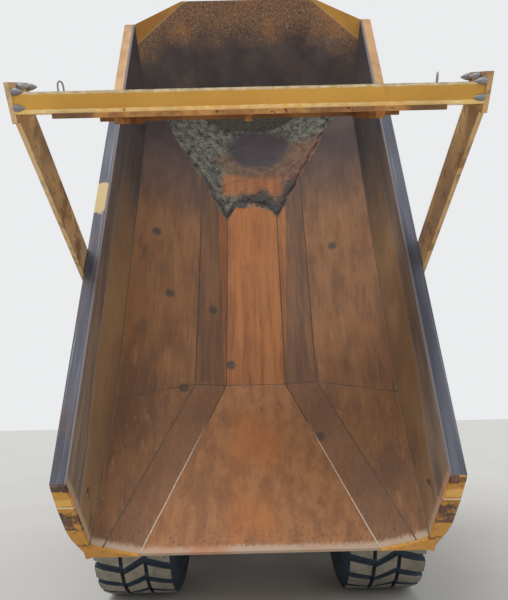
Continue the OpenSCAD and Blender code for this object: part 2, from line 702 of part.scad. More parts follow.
screen_lean = 0.13;
floor_t = 80;
function screen_y(z) = cab_front - max(0, z - sill_z) * screen_lean;
function cab_profile(inset, low) = [
    [cab_y + inset, low], [cab_front - inset, low], [cab_front - inset, sill_z],
    [screen_y(cab_top) + 30 - inset, cab_top - 160], [screen_y(cab_top) - 120 - inset, cab_top - inset],
    [cab_y + 140 + inset, cab_top - inset], [cab_y + inset, cab_top - 120 - inset]
];
door_y = [cab_y + 590, cab_front - 110];
door_z = [cab_z + 150, cab_top - 230];
function door_profile(g) = [
    [door_y[0] - g, door_z[0] - g], [door_y[1] + g, door_z[0] - g], [door_y[1] + g, sill_z],
    [screen_y(door_z[1]) - 110 + g, door_z[1] + g], [door_y[0] - g, door_z[1] + g]
];
function pane(g) = [
    [door_y[0] + 90 - g, sill_z - g], [door_y[1] - 80 + g, sill_z - g],
    [screen_y(door_z[1]) - 190 + g, door_z[1] - 90 + g], [door_y[0] + 90 - g, door_z[1] - 90 + g]
];
screen_half = cab_half - 150;
screen_z = [sill_z + 20, cab_top - 230];
back_half = cab_half - 230;
quarter_y = [cab_y + 130, door_y[0] - 110];
side_y = [cab_y + 200, cab_front - 250];
window_z = [sill_z, door_z[1] - 90];
glass_t = 12;
glass_in = (cab_wall - glass_t) / 2;
hinge_x = -cab_half - 16;
knuckle_y = door_y[0] - 12;
knuckle_zs = [door_z[0] + 230, door_z[1] - 250];
module cab_shell() {
    color(YELLOW) truck() {
        difference() {
            side_view(-cab_half, cab_half, cab_profile(0, cab_z));
            side_view(-cab_half + cab_wall, cab_half - cab_wall, cab_profile(cab_wall, cab_z + floor_t));
            box([-screen_half, screen_half], [cab_front - 300, cab_front + 10], screen_z);
            box([-back_half, back_half], [cab_y - 10, cab_y + cab_wall + 10], window_z);
            box([cab_half - cab_wall - 1, cab_half + 1], side_y, window_z);
            box([-cab_half - 1, -cab_half + cab_wall + 1], quarter_y, window_z);
            side_view(-cab_half - 1, -cab_half + cab_wall + 1, door_profile(door_gap));
        }
        for (z = knuckle_zs) {
            z_cyl(z - 62, z + 62, hinge_x, knuckle_y, 8);
            for (k = [[z - 60, z - 21], [z + 21, z + 60]]) {
                z_cyl(k[0], k[1], hinge_x, knuckle_y, 15);
                box([-cab_half - 24, -cab_half + 1], [knuckle_y - 70, knuckle_y - 10], k);
            }
        }
    }
}
module cab_glass() {
    color(GLASS) truck() {
        side_view(-screen_half, screen_half, [
            for (c = [[0, glass_t], [0, 0], [1, 0], [1, glass_t]])
                [screen_y(screen_z[c.x]) - glass_in - c.y, screen_z[c.x]]
        ]);
        box([-back_half, back_half], [cab_y + glass_in, cab_y + glass_in + glass_t], window_z);
        box([cab_half - glass_in - glass_t, cab_half - glass_in], side_y, window_z);
        box([-cab_half + glass_in, -cab_half + glass_in + glass_t], quarter_y, window_z);
    }
}
cab_floor = cab_z + floor_t;
module cab_fittings() {
    color(DARK) truck() {
        // Operator's seat in the middle, dashboard, column with its wheel, and a side console
        box([-190, 190], [cab_y + 420, cab_y + 800], [cab_floor, cab_floor + 300]);
        box([-260, 260], [cab_y + 340, cab_y + 860], [cab_floor + 300, cab_floor + 430]);
        side_view(-250, 250, [
            [cab_y + 340, cab_floor + 429], [cab_y + 470, cab_floor + 429], [cab_y + 360, cab_floor + 1120],
            [cab_y + 260, cab_floor + 1120]
        ]);
        side_view(-cab_half + cab_wall + 60, cab_half - cab_wall - 60, [
            [cab_front - 360, cab_floor], [cab_front - 90, cab_floor], [cab_front - 90, cab_floor + 560],
            [cab_front - 330, cab_floor + 620]
        ]);
        bar([0, cab_front - 345, cab_floor + 480], [0, cab_front - 500, cab_floor + 720], 32);
        translate([0, cab_front - 500, cab_floor + 720]) rotate([33, 0, 0]) {
            rotate_extrude() translate([210, 0]) circle(r = 17, $fn = 16);
            for (a = [90, 210, 330]) rotate([0, 0, a]) rotate([0, 90, 0]) cylinder(r = 12, h = 205, $fn = 16);
        }
        box([330, 620], [cab_y + 330, cab_y + 900], [cab_floor, cab_floor + 400]);
    }
}
module door() {
    color(YELLOW) truck() {
        difference() {
            side_view(-cab_half, -cab_half + cab_wall, door_profile(0));
            side_view(-cab_half - 1, -cab_half + cab_wall + 1, pane(0));
        }
        for (z = knuckle_zs) difference() {
            union() {
                z_cyl(z - 19, z + 19, hinge_x, knuckle_y, 15);
                box([-cab_half - 24, -cab_half + 1], [door_y[0] + 1, door_y[0] + 90], [z - 19, z + 19]);
                box([hinge_x - 8, hinge_x + 8], [knuckle_y, door_y[0] + 2], [z - 19, z + 19]);
            }
            z_cyl(z - 20, z + 20, hinge_x, knuckle_y, 8 + run_gap);
        }
    }
}
module door_glass() {
    color(GLASS) truck() side_view(-cab_half + glass_in, -cab_half + glass_in + glass_t, pane(0));
}

// HOOD

function hood_profile(inset, back) = [
    [hood_y[0] - back, hood_z - (back > 0 ? 1 : 0)], [hood_y[1] - inset, hood_z - (back > 0 ? 1 : 0)],
    [hood_y[1] - inset, hood_nose - 90], [hood_y[1] - 110 - inset / 2, hood_nose - inset],
    [hood_y[0] - back, hood_top - inset + back * (hood_top - hood_nose) / (hood_len - 110)]
];
function hood_section(inset) = [
    [-hood_half + inset, 0], [hood_half - inset, 0], [hood_half - inset, hood_nose - 170],
    [hood_half - inset - 160, 3000], [-hood_half + inset + 160, 3000], [-hood_half + inset, hood_nose - 170]
];
grille_half = 520;
grille_z = [hood_z + 80, hood_nose - 120];
hood_ear_x = [hood_lug_x[1] + side_gap, hood_lug_x[1] + side_gap + 30];
module hood_form(inset, back) {
    intersection() {
        side_view(-hood_half + inset, hood_half - inset, hood_profile(inset, back));
        end_view(hood_y[0] - 100, hood_y[1] + 100, hood_section(inset));
    }
}
module hood() {
    color(YELLOW) truck() {
        difference() {
            hood_form(0, 0);
            hood_form(hood_wall, 20);
            box([-grille_half, grille_half], [hood_y[1] - hood_wall - 5, hood_y[1] + 5], grille_z);
        }
        both() difference() {
            side_view(hood_ear_x[0], hood_ear_x[1], [
                [hood_y[1] - 1, hood_z + 5], [hood_y[1] + 8, hood_z + 5], [hood_y[1] + 8, hood_pin.y - 15],
                [hood_pin.x - 5, hood_pin.y - 30], [hood_pin.x + 30, hood_pin.y - 10],
                [hood_pin.x + 30, hood_pin.y + 30], [hood_y[1] - 1, hood_z + 70]
            ]);
            x_cyl(hood_ear_x[0] - 1, hood_ear_x[1] + 1, hood_pin.x, hood_pin.y, hood_pin_r + run_gap);
        }
    }
}
grille_bars = 9;
module grille() {
    step = (grille_z[1] - grille_z[0]) / grille_bars;
    color(DARK) truck() {
        box([-grille_half, grille_half], [hood_y[1] - hood_wall, hood_y[1] - hood_wall + 8], grille_z);
        for (i = [0 : grille_bars - 1])
            box([-grille_half, grille_half], [hood_y[1] - hood_wall, hood_y[1]],
                [grille_z[0] + i * step, grille_z[0] + i * step + 18]);
    }
}

// DUMP BODY

// Ends of the body: the tail opening's plane, and the front edges of wall and sides.
function end_u(w) = lip_u + (w - lip_w) / tan(end_angle);
function wall_u(w) = floor_front_u + (w - floor_w) * wall_lean;
function corner_u(w) = rail_front_u - (rail_w - w) * wall_lean;

chamfer_w = 85;
side_w = 385;
tail_fold = [1164, 60];
tail_side = [1255, 90];
side_kink_u = 150;
// Crease lines of the plates, right half: [x, w] at the tail edge and along the floor, and the kink's u.
CREASES = [
    // [[x, w] at the tail, [x, w] ahead of the kink, u of the kink]
    [[lip_half, lip_w], [flat_half, floor_w], kink_u],
    [[tail_fold.x, lip_w + tail_fold.y], [chamfer_half, chamfer_w], kink_u - 30],
    [[tail_side.x, lip_w + tail_side.y], [side_half, side_w], side_kink_u],
    [[rail_in, rail_w], [rail_in, rail_w], side_kink_u]
];
function crease(i, row) = CREASES[i][row == 0 ? 0 : 1];
function outward(a, b) = let (d = b - a) [d.y, -d.x] / norm(d);
function mitre(i, row) = let (
    p = crease(i, row),
    n1 = i == 0 ? [0, -1] : outward(crease(i - 1, row), p),
    n2 = i == len(CREASES) - 1 ? n1 : outward(p, crease(i + 1, row))
) (n1 + n2) / (1 + n1 * n2);
// Point of a crease on the tail edge (row 0), the kink (row 1) or the front (row 2), t outside the inner face.
function body_point(i, row, t) = let (
    p = crease(i, row) + t * mitre(i, row),
    u = row == 0 ? end_u(p.y) : row == 1 ? CREASES[i][2] : i < 2 ? wall_u(p.y) : corner_u(p.y)
) [p.x, u, p.y];
function flip(p) = [-p.x, p.y, p.z];
function floor_row(row, t) = [
    flip(body_point(1, row, t)), flip(body_point(0, row, t)), body_point(0, row, t), body_point(1, row, t)
];
function side_row(row, t) = [for (i = [1 : 3]) body_point(i, row, t)];

// A plate of any shape between two grids of points, its inner and its outer face.
module folded_plate(inner, outer) {
    m = len(inner);
    n = len(inner[0]);
    at = function (s, r, c) (s * m + r) * n + c;
    quads = concat(
        [for (r = [0 : m - 2], c = [0 : n - 2])
            [at(0, r, c), at(0, r, c + 1), at(0, r + 1, c + 1), at(0, r + 1, c)]],
        [for (r = [0 : m - 2], c = [0 : n - 2])
            [at(1, r, c), at(1, r + 1, c), at(1, r + 1, c + 1), at(1, r, c + 1)]],
        [for (c = [0 : n - 2]) [at(0, 0, c), at(1, 0, c), at(1, 0, c + 1), at(0, 0, c + 1)]],
        [for (c = [0 : n - 2]) [at(0, m - 1, c), at(0, m - 1, c + 1), at(1, m - 1, c + 1), at(1, m - 1, c)]],
        [for (r = [0 : m - 2]) [at(0, r, 0), at(0, r + 1, 0), at(1, r + 1, 0), at(1, r, 0)]],
        [for (r = [0 : m - 2]) [at(0, r, n - 1), at(1, r, n - 1), at(1, r + 1, n - 1), at(0, r + 1, n - 1)]]
    );
    polyhedron(
        points = [for (g = [inner, outer], row = g) each row],
        faces = [for (q = quads) each [[q[0], q[2], q[1]], [q[0], q[3], q[2]]]]
    );
}
module body_floor() {
    color(RUST) on_body()
        folded_plate([for (r = [0 : 2]) floor_row(r, 0)], [for (r = [0 : 2]) floor_row(r, plate)]);
}
boss_r = 115;
gate_pin_r = 50;
arm_x = [rail_out + side_gap + 1, rail_out + side_gap + 1 + arm_w];
drain = [-728, 848];
drain_r = 38;
gutter_x = [rail_in - 32, rail_in + 56];
gutter_t = 12;
module body_sides() {
    color(RUST) on_body() both() {
        difference() {
            folded_plate([for (r = [0 : 2]) side_row(r, 0)], [for (r = [0 : 2]) side_row(r, plate)]);
            x_cyl(side_half - 60, rail_in + 60, drain.x, drain.y, drain_r);
        }
        // Gutter outside the drain hole
        for (u = [drain.x - 2 * drain_r, drain.x + 2 * drain_r - gutter_t])
            box(gutter_x, [u, u + gutter_t], [drain.y - 2 * drain_r, drain.y + drain_r + gutter_t]);
        box([gutter_x[1] - gutter_t, gutter_x[1]], [drain.x - 2 * drain_r, drain.x + 2 * drain_r],
            [drain.y - 2 * drain_r, drain.y + drain_r + gutter_t]);
        x_cyl(side_half + 15, arm_x[0] - side_gap, pivot_u, pivot_w, boss_r);
        x_cyl(side_half + 15, arm_x[1] + 15, pivot_u, pivot_w, gate_pin_r);
    }
}
wall_out = [cos(atan(wall_lean)), -sin(atan(wall_lean))];
function wall_shift(p, t) = [p.x, p.y + t * wall_out.x, p.z + t * wall_out.y];
wall_top_u = wall_u(wall_w);
function wall_behind(w, t) = [wall_u(w) + t * wall_out.x, w + t * wall_out.y];
function wall_foot() = [for (i = [0 : 2]) body_point(i, 2, 0)];
wall_head = [
    [wall_half / 2, wall_top_u, wall_w], [wall_half, wall_top_u, wall_w], [rail_in, rail_front_u, rail_w]
];
function wall_row(right) = [for (i = [2 : -1 : 0]) flip(right[i]), each right];
module body_front_wall() {
    rows = [wall_row(wall_foot()), wall_row(wall_head)];
    color(RUST) on_body() {
        folded_plate(rows, [for (r = rows) [for (p = r) wall_shift(p, plate)]]);
        // Ribs behind the wall and a folded edge along its top
        for (x = [-500, 0, 500])
            side_view(x - 30, x + 30, [
                wall_behind(120, plate / 2), wall_behind(120, plate + 70),
                wall_behind(wall_w - 80, plate + 70), wall_behind(wall_w - 80, plate / 2)
            ]);
        side_view(-wall_half, wall_half, [
            wall_behind(wall_w, plate / 2), wall_behind(wall_w - 100, plate / 2),
            wall_behind(wall_w - 100, plate + 60), wall_behind(wall_w, plate + 60)
        ]);
    }
}
// Distance up the tail opening's plane of a height above the hinge.
function end_s(w) = (w - lip_w) / sin(end_angle);
edge_t = 25;
// Outer edge of a tail plate, from the top rail down to the corner of the flat tail edge, [x, s]
EDGE = [
    [rail_out - 12, end_s(rail_w)], [rail_out - 27, 477], [rail_out - 53, 269], [rail_out - 79, 181],
    [rail_out - 149, 53], [rail_out - 153, -16], [rail_out - 209, 0]
];
module body_end_frame() {
    color(YELLOW) on_body() on_end() both() translate([0, 0, seat]) linear_extrude(edge_t) polygon(concat([
        [lip_half, end_s(lip_w)], [tail_fold.x, end_s(lip_w + tail_fold.y)],
        [tail_side.x, end_s(lip_w + tail_side.y)], [rail_in, end_s(rail_w)]
    ], EDGE));
}
function side_x(w) = side_half + (w - side_w) * (rail_in - side_half) / (rail_w - side_w);
rail_batter = 32;
module body_rails() {
    low = rail_w - rail_box;
    color(STEEL) on_body() both() difference() {
        end_view(end_u(low) - 100, rail_front_u, [
            [side_x(low) + plate + seat, low], [side_x(rail_w) + plate + seat, rail_w], [rail_out, rail_w],
            [rail_out - rail_batter, low]
        ]);
        on_end() box([0, 2000], [-1500, 1500], [0, 1500]);
        translate([0, corner_u(low), low]) rotate([atan2(1, wall_lean) - 90, 0, 0])
            box([0, 2000], [0, 800], [-500, 900]);
    }
}
// Outer face of the plates in a cut across the body, right half, t outside their inner face.
function outer_right(t) = [for (i = [0 : 3]) let (p = body_point(i, 1, t)) [p.x, p.z]];
runner_w = -150;
ear_u = 1250;
ear_w = -130;
ear_t = 30;
ear_gap = hoist_rod_r + side_gap + 2;
module body_runners() {
    cut = outer_right(plate + seat);
    color(YELLOW) on_body() both() difference() {
        union() {
            box([rear_rail_in, rear_rail_out], [kink_u + 60, floor_front_u - 60], [runner_w, 100]);
            // Ears and bosses for the hoist rod
            for (x = [hoist_x - ear_gap - ear_t, hoist_x + ear_gap])
                side_view(x, x + ear_t, [
                    [ear_u - 150, 150], [ear_u + 150, 150], [ear_u + 70, ear_w - 60], [ear_u - 70, ear_w - 60]
                ]);
            for (x = [hoist_x - ear_gap - ear_t - 15, hoist_x + ear_gap + ear_t - 1])
                x_cyl(x, x + 16, ear_u, ear_w, 38);
            // Block from the runner to the inner ear, and a strap on to the outer one
            box([rear_rail_out - 1, hoist_x - ear_gap], [ear_u - 120, ear_u + 120], [-60, 150]);
            box([hoist_x - ear_gap - 1, hoist_x + ear_gap + ear_t], [ear_u - 120, ear_u + 120], [40, 150]);
            // Hinge lug
            side_view(body_lug[0], body_lug[1], [
                [kink_u + 1, 100], [kink_u + 1, -70], [0, lug_r], [0, -lug_r], [kink_u + 100, runner_w],
                [kink_u + 200, runner_w], [kink_u + 200, 100]
            ]);
            x_cyl(body_lug[0], body_lug[1], 0, 0, lug_r);
        }
        x_cyl(body_lug[0] - 1, body_lug[1] + 1, 0, 0, hinge_pin_r + run_gap);
        end_view(kink_u, 5000, concat(cut, [for (i = [3 : -1 : 0]) [-cut[i].x, cut[i].y]]));
    }
}
rib_us = [640, 1560, 2400, 3250];
rib_half = 45;
rib_top = rail_w - rail_box - 20;
module body_ribs() {
    near = outer_right(plate + seat);
    far = outer_right(plate + rib_d);
    along = function (p, q, x) [x, p.y + (q.y - p.y) * (x - p.x) / (q.x - p.x)];
    up = function (p, q, w) [p.x + (q.x - p.x) * (w - p.y) / (q.y - p.y), w];
    x0 = rear_rail_out + seat;
    color(YELLOW) on_body() for (u = rib_us) {
        box([-rear_rail_in + seat, rear_rail_in - seat], [u - rib_half, u + rib_half],
            [floor_w - plate - rib_d, floor_w - plate - seat]);
        both() {
            end_view(u - rib_half, u + rib_half, [
                along(near[0], near[1], x0), near[1], near[2], far[2], along(far[0], far[1], x0)
            ]);
            end_view(u - rib_half, u + rib_half, [
                near[2] + [0, 2 * seat], far[2] + [0, 2 * seat], up(far[2], far[3], rib_top),
                up(near[2], near[3], rib_top)
            ]);
        }
    }
}

// TAILGATE

foot_half = gate_half - 60;
module tailgate_panel() {
    color(RUST) on_gate() on_end() {
        translate([0, 0, gate_gap]) linear_extrude(gate_t) polygon([
            [-foot_half, -beam_h / 2], [foot_half, -beam_h / 2], [gate_half, 0], [gate_half, gate_h * 0.55],
            [gate_half - 70, gate_h], [-gate_half + 70, gate_h], [-gate_half, gate_h * 0.55], [-gate_half, 0]
        ]);
        box([-foot_half, foot_half], [-gate_foot, -beam_h / 2 + 1], [gate_gap - 10, gate_gap + gate_t]);
        for (x = [-850, 0, 850]) box([x - 30, x + 30], [60, gate_h - 60], [gate_gap - 50, gate_gap + 1]);
        box([-gate_half + 70, gate_half - 70], [gate_h - 40, gate_h], [gate_gap - 30, gate_gap + 1]);
    }
}
beam_half = rail_out - 25;
module tailgate_beam() {
    color(YELLOW) on_gate() on_end()
        box([-beam_half, beam_half], [-beam_h / 2, beam_h / 2], [beam_n, beam_n + beam_t]);
}
arm_end = end_point(0, beam_n + beam_t / 2);
arm_below = 75;
arm_above = 175;
module tailgate_arms() {
    v = arm_end - gate_pivot;
    a = atan2(v.y, v.x);
    p = [for (c = [[0, -boss_r], [350, -arm_above], [norm(v), -arm_above], [norm(v) + 60, -arm_below],
                   [norm(v) + 60, 30], [norm(v) + 20, arm_below], [0, arm_below]]) gate_pivot + turn(c, a)];
    color(YELLOW) on_gate() both() {
        difference() {
            union() {
                side_view(arm_x[0], arm_x[1], p);
                x_cyl(arm_x[0], arm_x[1], pivot_u, pivot_w, boss_r);
            }
            x_cyl(arm_x[0] - 1, arm_x[1] + 1, pivot_u, pivot_w, gate_pin_r + run_gap);
        }
        on_end() side_view(beam_half, arm_x[0] + 1, GATE_END);
    }
}

// CYLINDERS

hoist_eye = to_truck([ear_u, ear_w]);
hoist_v = hoist_eye - hoist_pin;
hoist_len = norm(hoist_v);
hoist_closed = norm([hinge_y + ear_u, hinge_z + ear_w] - hoist_pin);
hoist_barrel_len = hoist_closed - 250;
// A cylinder's own frame: z runs from its foot to its rod's eye.
module on_hoist(side) {
    truck() translate([side * hoist_x, hoist_pin.x, hoist_pin.y])
        rotate([atan2(-hoist_v.x, hoist_v.y), 0, 0]) children();
}
module barrel(len, r, rod_r, eye_r, eye_pin, eye_half, foot) {
    difference() {
        union() {
            translate([0, 0, foot]) cylinder(r = r, h = len - foot);
            translate([0, 0, len - 60]) cylinder(r = r + 8, h = 60);
            translate([-eye_half, 0, 0]) rotate([0, 90, 0]) cylinder(r = eye_r, h = 2 * eye_half);
            translate([-eye_half * 0.8, -eye_r * 0.8, 0]) cube([eye_half * 1.6, eye_r * 1.6, foot + 10]);
        }
        translate([0, 0, foot + 30]) cylinder(r = r - 14, h = len - foot - 90);
        translate([0, 0, len - 61]) cylinder(r = rod_r + run_gap, h = 70);
        translate([-eye_half - 1, 0, 0]) rotate([0, 90, 0]) cylinder(r = eye_pin + run_gap, h = 2 * eye_half + 2);
    }
}
module rod(start, len, bore_r, rod_r, eye_r, eye_half, pin) {
    translate([0, 0, start]) cylinder(r = rod_r, h = len - start);
    translate([0, 0, start]) cylinder(r = bore_r - 1, h = 60);
    translate([-eye_half, 0, len]) rotate([0, 90, 0]) cylinder(r = eye_r, h = 2 * eye_half);
    translate([-eye_half - 2, 0, len]) rotate([0, 90, 0]) cylinder(r = pin, h = 2 * eye_half + 4);
}
hoist_foot = 110;
module hoist_barrel(side) {
    color(YELLOW) on_hoist(side)
        barrel(hoist_barrel_len, hoist_r, hoist_rod_r, 75, hoist_pin_r, hoist_eye_half, hoist_foot);
}
module hoist_rod(side) {
    start = hoist_len - hoist_closed + hoist_foot + 45;
    color(CHROME) on_hoist(side)
        rod(start, hoist_len, hoist_r - 14, hoist_rod_r, 62, ear_gap - side_gap, 30);
}
steer_v = steer_lug - steer_front;
steer_len = norm(steer_v);
steer_short = 1080;
module on_steer(side) {
    truck() translate([side * steer_front.x, steer_front.y, steer_z])
        rotate([0, 0, side > 0 ? atan2(steer_v.y, steer_v.x) - 90 : 90 - atan2(steer_v.y, steer_v.x)])
            rotate([-90, 0, 0]) rotate([0, 0, 90]) children();
}
steer_foot = 60;
module steer_barrel(side) {
    color(YELLOW) on_steer(side)
        barrel(steer_short - 150, steer_r, steer_rod_r, steer_eye_r, steer_pin_r, steer_eye_half, steer_foot);
}
module steer_rod(side) {
    start = steer_foot + 40 + steer_len - steer_short;
    color(CHROME) on_steer(side)
        rod(start, steer_len, steer_r - 14, steer_rod_r, 45, steer_eye_half, 22);
}

rear_frame();
rear_axle();
mid_axle();
bogie_beams();
prop_shafts();
tow_hitch();
rear_lamps();
hitch();
front_frame();
bumper();
engine_block();
front_axle();
front_mudguards();
fuel_tank();
hydraulic_tank();
access_steps();
handrails();
mirrors();
exhaust_stack();
head_lamps();
cab_shell();
cab_glass();
cab_fittings();
door();
door_glass();
hood();
grille();
body_floor();
body_sides();
body_front_wall();
body_end_frame();
body_rails();
body_runners();
body_ribs();
tailgate_panel();
tailgate_beam();
tailgate_arms();
hoist_barrel(LEFT);  // hoist_barrel_left
hoist_barrel(RIGHT);  // hoist_barrel_right
hoist_rod(LEFT);  // hoist_rod_left
hoist_rod(RIGHT);  // hoist_rod_right
steer_barrel(LEFT);  // steer_barrel_left
steer_barrel(RIGHT);  // steer_barrel_right
steer_rod(LEFT);  // steer_rod_left
steer_rod(RIGHT);  // steer_rod_right
tyre(LEFT, front_y);  // tyre_front_left
tyre(RIGHT, front_y);  // tyre_front_right
tyre(LEFT, mid_y);  // tyre_mid_left
tyre(RIGHT, mid_y);  // tyre_mid_right
tyre(LEFT, 0);  // tyre_rear_left
tyre(RIGHT, 0);  // tyre_rear_right
rim(LEFT, front_y);  // rim_front_left
rim(RIGHT, front_y);  // rim_front_right
rim(LEFT, mid_y);  // rim_mid_left
rim(RIGHT, mid_y);  // rim_mid_right
rim(LEFT, 0);  // rim_rear_left
rim(RIGHT, 0);  // rim_rear_right
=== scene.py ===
# %% [markdown]
# # An articulated dump truck with its body raised
# The truck is seen from behind and a little below: the raised body turns its load floor to the
# camera, the tailgate hangs open over it, and two dusty rear tyres stand under the tail.
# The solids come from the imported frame. Here they get their finishes, and the small forms that the
# solids leave out: tread, welds, bolts, seals, lamps' lenses and the cab's inside.

# %% Load the frame
import math
import random

import bmesh
import bpy
from mathutils import Matrix, Vector, noise
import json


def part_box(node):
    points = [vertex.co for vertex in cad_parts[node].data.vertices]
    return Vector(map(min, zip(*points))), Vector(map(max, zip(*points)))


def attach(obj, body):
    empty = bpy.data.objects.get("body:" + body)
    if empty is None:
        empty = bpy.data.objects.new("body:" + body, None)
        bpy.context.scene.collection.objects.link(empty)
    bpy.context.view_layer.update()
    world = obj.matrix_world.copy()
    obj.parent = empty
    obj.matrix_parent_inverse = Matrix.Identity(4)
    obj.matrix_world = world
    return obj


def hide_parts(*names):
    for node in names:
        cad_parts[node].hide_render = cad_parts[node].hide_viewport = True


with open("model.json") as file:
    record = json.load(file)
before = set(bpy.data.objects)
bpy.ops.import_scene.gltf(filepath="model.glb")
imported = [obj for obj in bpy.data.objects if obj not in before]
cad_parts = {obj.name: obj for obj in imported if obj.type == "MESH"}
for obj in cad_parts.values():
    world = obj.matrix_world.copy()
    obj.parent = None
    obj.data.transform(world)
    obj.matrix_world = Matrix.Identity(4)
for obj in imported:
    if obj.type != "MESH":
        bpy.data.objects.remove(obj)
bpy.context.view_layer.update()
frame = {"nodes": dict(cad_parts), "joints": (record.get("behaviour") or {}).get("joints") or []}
nodes = frame["nodes"]
joints = {j["name"]: j for j in frame["joints"]}

# %% [markdown]
# The body, its tail opening and the open gate each lie at a slant. A piece for one of them is drawn
# flat, in x, along and up, and one matrix then lays it in place. The turns come from the joints, so
# the pieces follow if the frame is packed again.

# %% Places of the slanted parts
tip = joints["body_tip"]
tip_angle = -math.radians(tip["range_deg"][0])
gate_swing = math.radians(joints["tailgate_swing"]["range_deg"][1])
hinge = Vector(tip["pos_m"])
ON_BODY = Matrix.Translation(hinge) @ Matrix.Rotation(tip_angle, 4, "X")
LIP = (-1.143, 0.640)
RAIL_END = (-0.723, 1.189)
end_angle = math.atan2(RAIL_END[1] - LIP[1], RAIL_END[0] - LIP[0])
TAIL_PLANE = Matrix.Translation((0, *LIP)) @ Matrix.Rotation(end_angle, 4, "X")
ON_TAIL = ON_BODY @ TAIL_PLANE
gate_pivot = ON_BODY.inverted() @ Vector(joints["tailgate_swing"]["pos_m"])
GATE_OPEN = (Matrix.Translation(gate_pivot) @ Matrix.Rotation(-gate_swing, 4, "X")
             @ Matrix.Translation(-gate_pivot))
ON_GATE = ON_BODY @ GATE_OPEN @ TAIL_PLANE
MIRROR = Matrix.Diagonal((-1, 1, 1, 1))
print("hinge", [round(c, 3) for c in hinge], "gate pivot", [round(c, 3) for c in gate_pivot])

# %% [markdown]
# The body is folded from flat plates, and several finishes and pieces need its section: half the
# width and the height of each crease. The floor is level from the front wall to a kink, and from
# there it rises and widens to the lip. The front wall leans forward by a fixed slope.

# %% The body's plates
SECTION = ((0.0, -0.060), (0.300, -0.060), (0.600, 0.085), (1.290, 0.385))
KINK_U, FRONT_U = 0.400, 3.900
FLOOR_W, FOLD_W, TOP_W = SECTION[0][1], 0.955, RAIL_END[1]
LEAN = 0.7266
print("floor", 2 * SECTION[1][0], "m wide, wall leans", round(math.degrees(math.atan(LEAN)), 1), "degrees")

# %% [markdown]
# The photograph is taken at eye height close behind the truck, with the camera tilted up. The lens
# is set by its length in pixels on the picture's long side, and a small roll leans the truck left.

# %% Camera
PICTURE = (508, 600)
LENS_PIXELS = 508
CAMERA_HEIGHT = 1.70
CAMERA_BEHIND_HINGE = 5.05
TILT_UP = math.radians(12.4)
ROLL = math.radians(1.35)
camera = bpy.data.objects.new("camera", bpy.data.cameras.new("camera"))
bpy.context.scene.collection.objects.link(camera)
camera.data.lens = LENS_PIXELS / max(PICTURE) * camera.data.sensor_width
camera.data.clip_end = 300
camera.matrix_world = (
    Matrix.Translation((0, hinge.y - CAMERA_BEHIND_HINGE, CAMERA_HEIGHT))
    @ Matrix.Rotation(math.pi / 2 + TILT_UP, 4, "X") @ Matrix.Rotation(-ROLL, 4, "Z"))
bpy.context.scene.camera = camera
print("lens", round(camera.data.lens, 2), "mm")

# %% [markdown]
# A finish is a small tree of nodes that ends in one shader. The class below only shortens the
# writing: it adds a node, joins its inputs and hands back its result. Patterns read the object's
# own coordinates, which are metres on the truck, so a scratch or a stain keeps its real size.

# %% Finishes: a tree of nodes
def tint(red, green, blue):
    """A colour as the eye reads it, 0 to 255, turned into the light that the shader wants."""
    share = (c / 255 for c in (red, green, blue))
    return (*(c / 12.92 if c <= 0.04045 else ((c + 0.055) / 1.055) ** 2.4 for c in share), 1.0)


class NodeTree:
    """A material's nodes. Given a slanted part's matrix, their patterns lie on that part."""

    def __init__(self, name, lies_on=None):
        self.material = bpy.data.materials.new(name)
        self.material.use_nodes = True
        self.tree = self.material.node_tree
        self.shader = self.tree.nodes["Principled BSDF"]
        self.coords = self.add("ShaderNodeTexCoord").outputs
        self.lies_on = lies_on
        self.place = self.coords["Object"] if lies_on is None else self.turned(lies_on)

    def add(self, kind, settings=None, **inputs):
        node = self.tree.nodes.new(kind)
        for key, value in (settings or {}).items():
            setattr(node, key, value)
        for key, value in inputs.items():
            socket = node.inputs[int(key[1:])] if key[1:].isdigit() else node.inputs[key.replace("_", " ")]
            self.feed(socket, value)
        return node

    def feed(self, socket, value):
        if isinstance(value, bpy.types.NodeSocket):
            self.tree.links.new(value, socket)
        else:
            socket.default_value = value

    def maths(self, how, *values):
        inputs = {f"i{i}": v for i, v in enumerate(values)}
        return self.add("ShaderNodeMath", {"operation": how}, **inputs).outputs[0]

    def add_up(self, first, *rest):
        for value in rest:
            first = self.maths("ADD", first, value)
        return first

    def times(self, first, *rest):
        for value in rest:
            first = self.maths("MULTIPLY", first, value)
        return first

    def vectors(self, how, first, second=(0, 0, 0)):
        node = self.add("ShaderNodeVectorMath", {"operation": how}, i0=first, i1=second)
        return node.outputs["Value" if how in ("LENGTH", "DISTANCE", "DOT_PRODUCT") else "Vector"]

    def turned(self, matrix):
        """The object's coordinates seen from a slanted part."""
        return self.add("ShaderNodeMapping", {"vector_type": "TEXTURE"}, Vector=self.coords["Object"],
                        Location=matrix.translation, Rotation=matrix.to_euler()).outputs[0]

    def axes(self, place=None):
        return self.add("ShaderNodeSeparateXYZ", None, Vector=place or self.place).outputs


# %% [markdown]
# A pattern is a number from 0 to 1 all over the surface. Clouds and streaks come from noise, which
# is packed closer along one axis for streaks. Zones come from a place that is compared with a
# limit. Rubbed edges come from the bevel node, which bends the surface's direction near an edge.

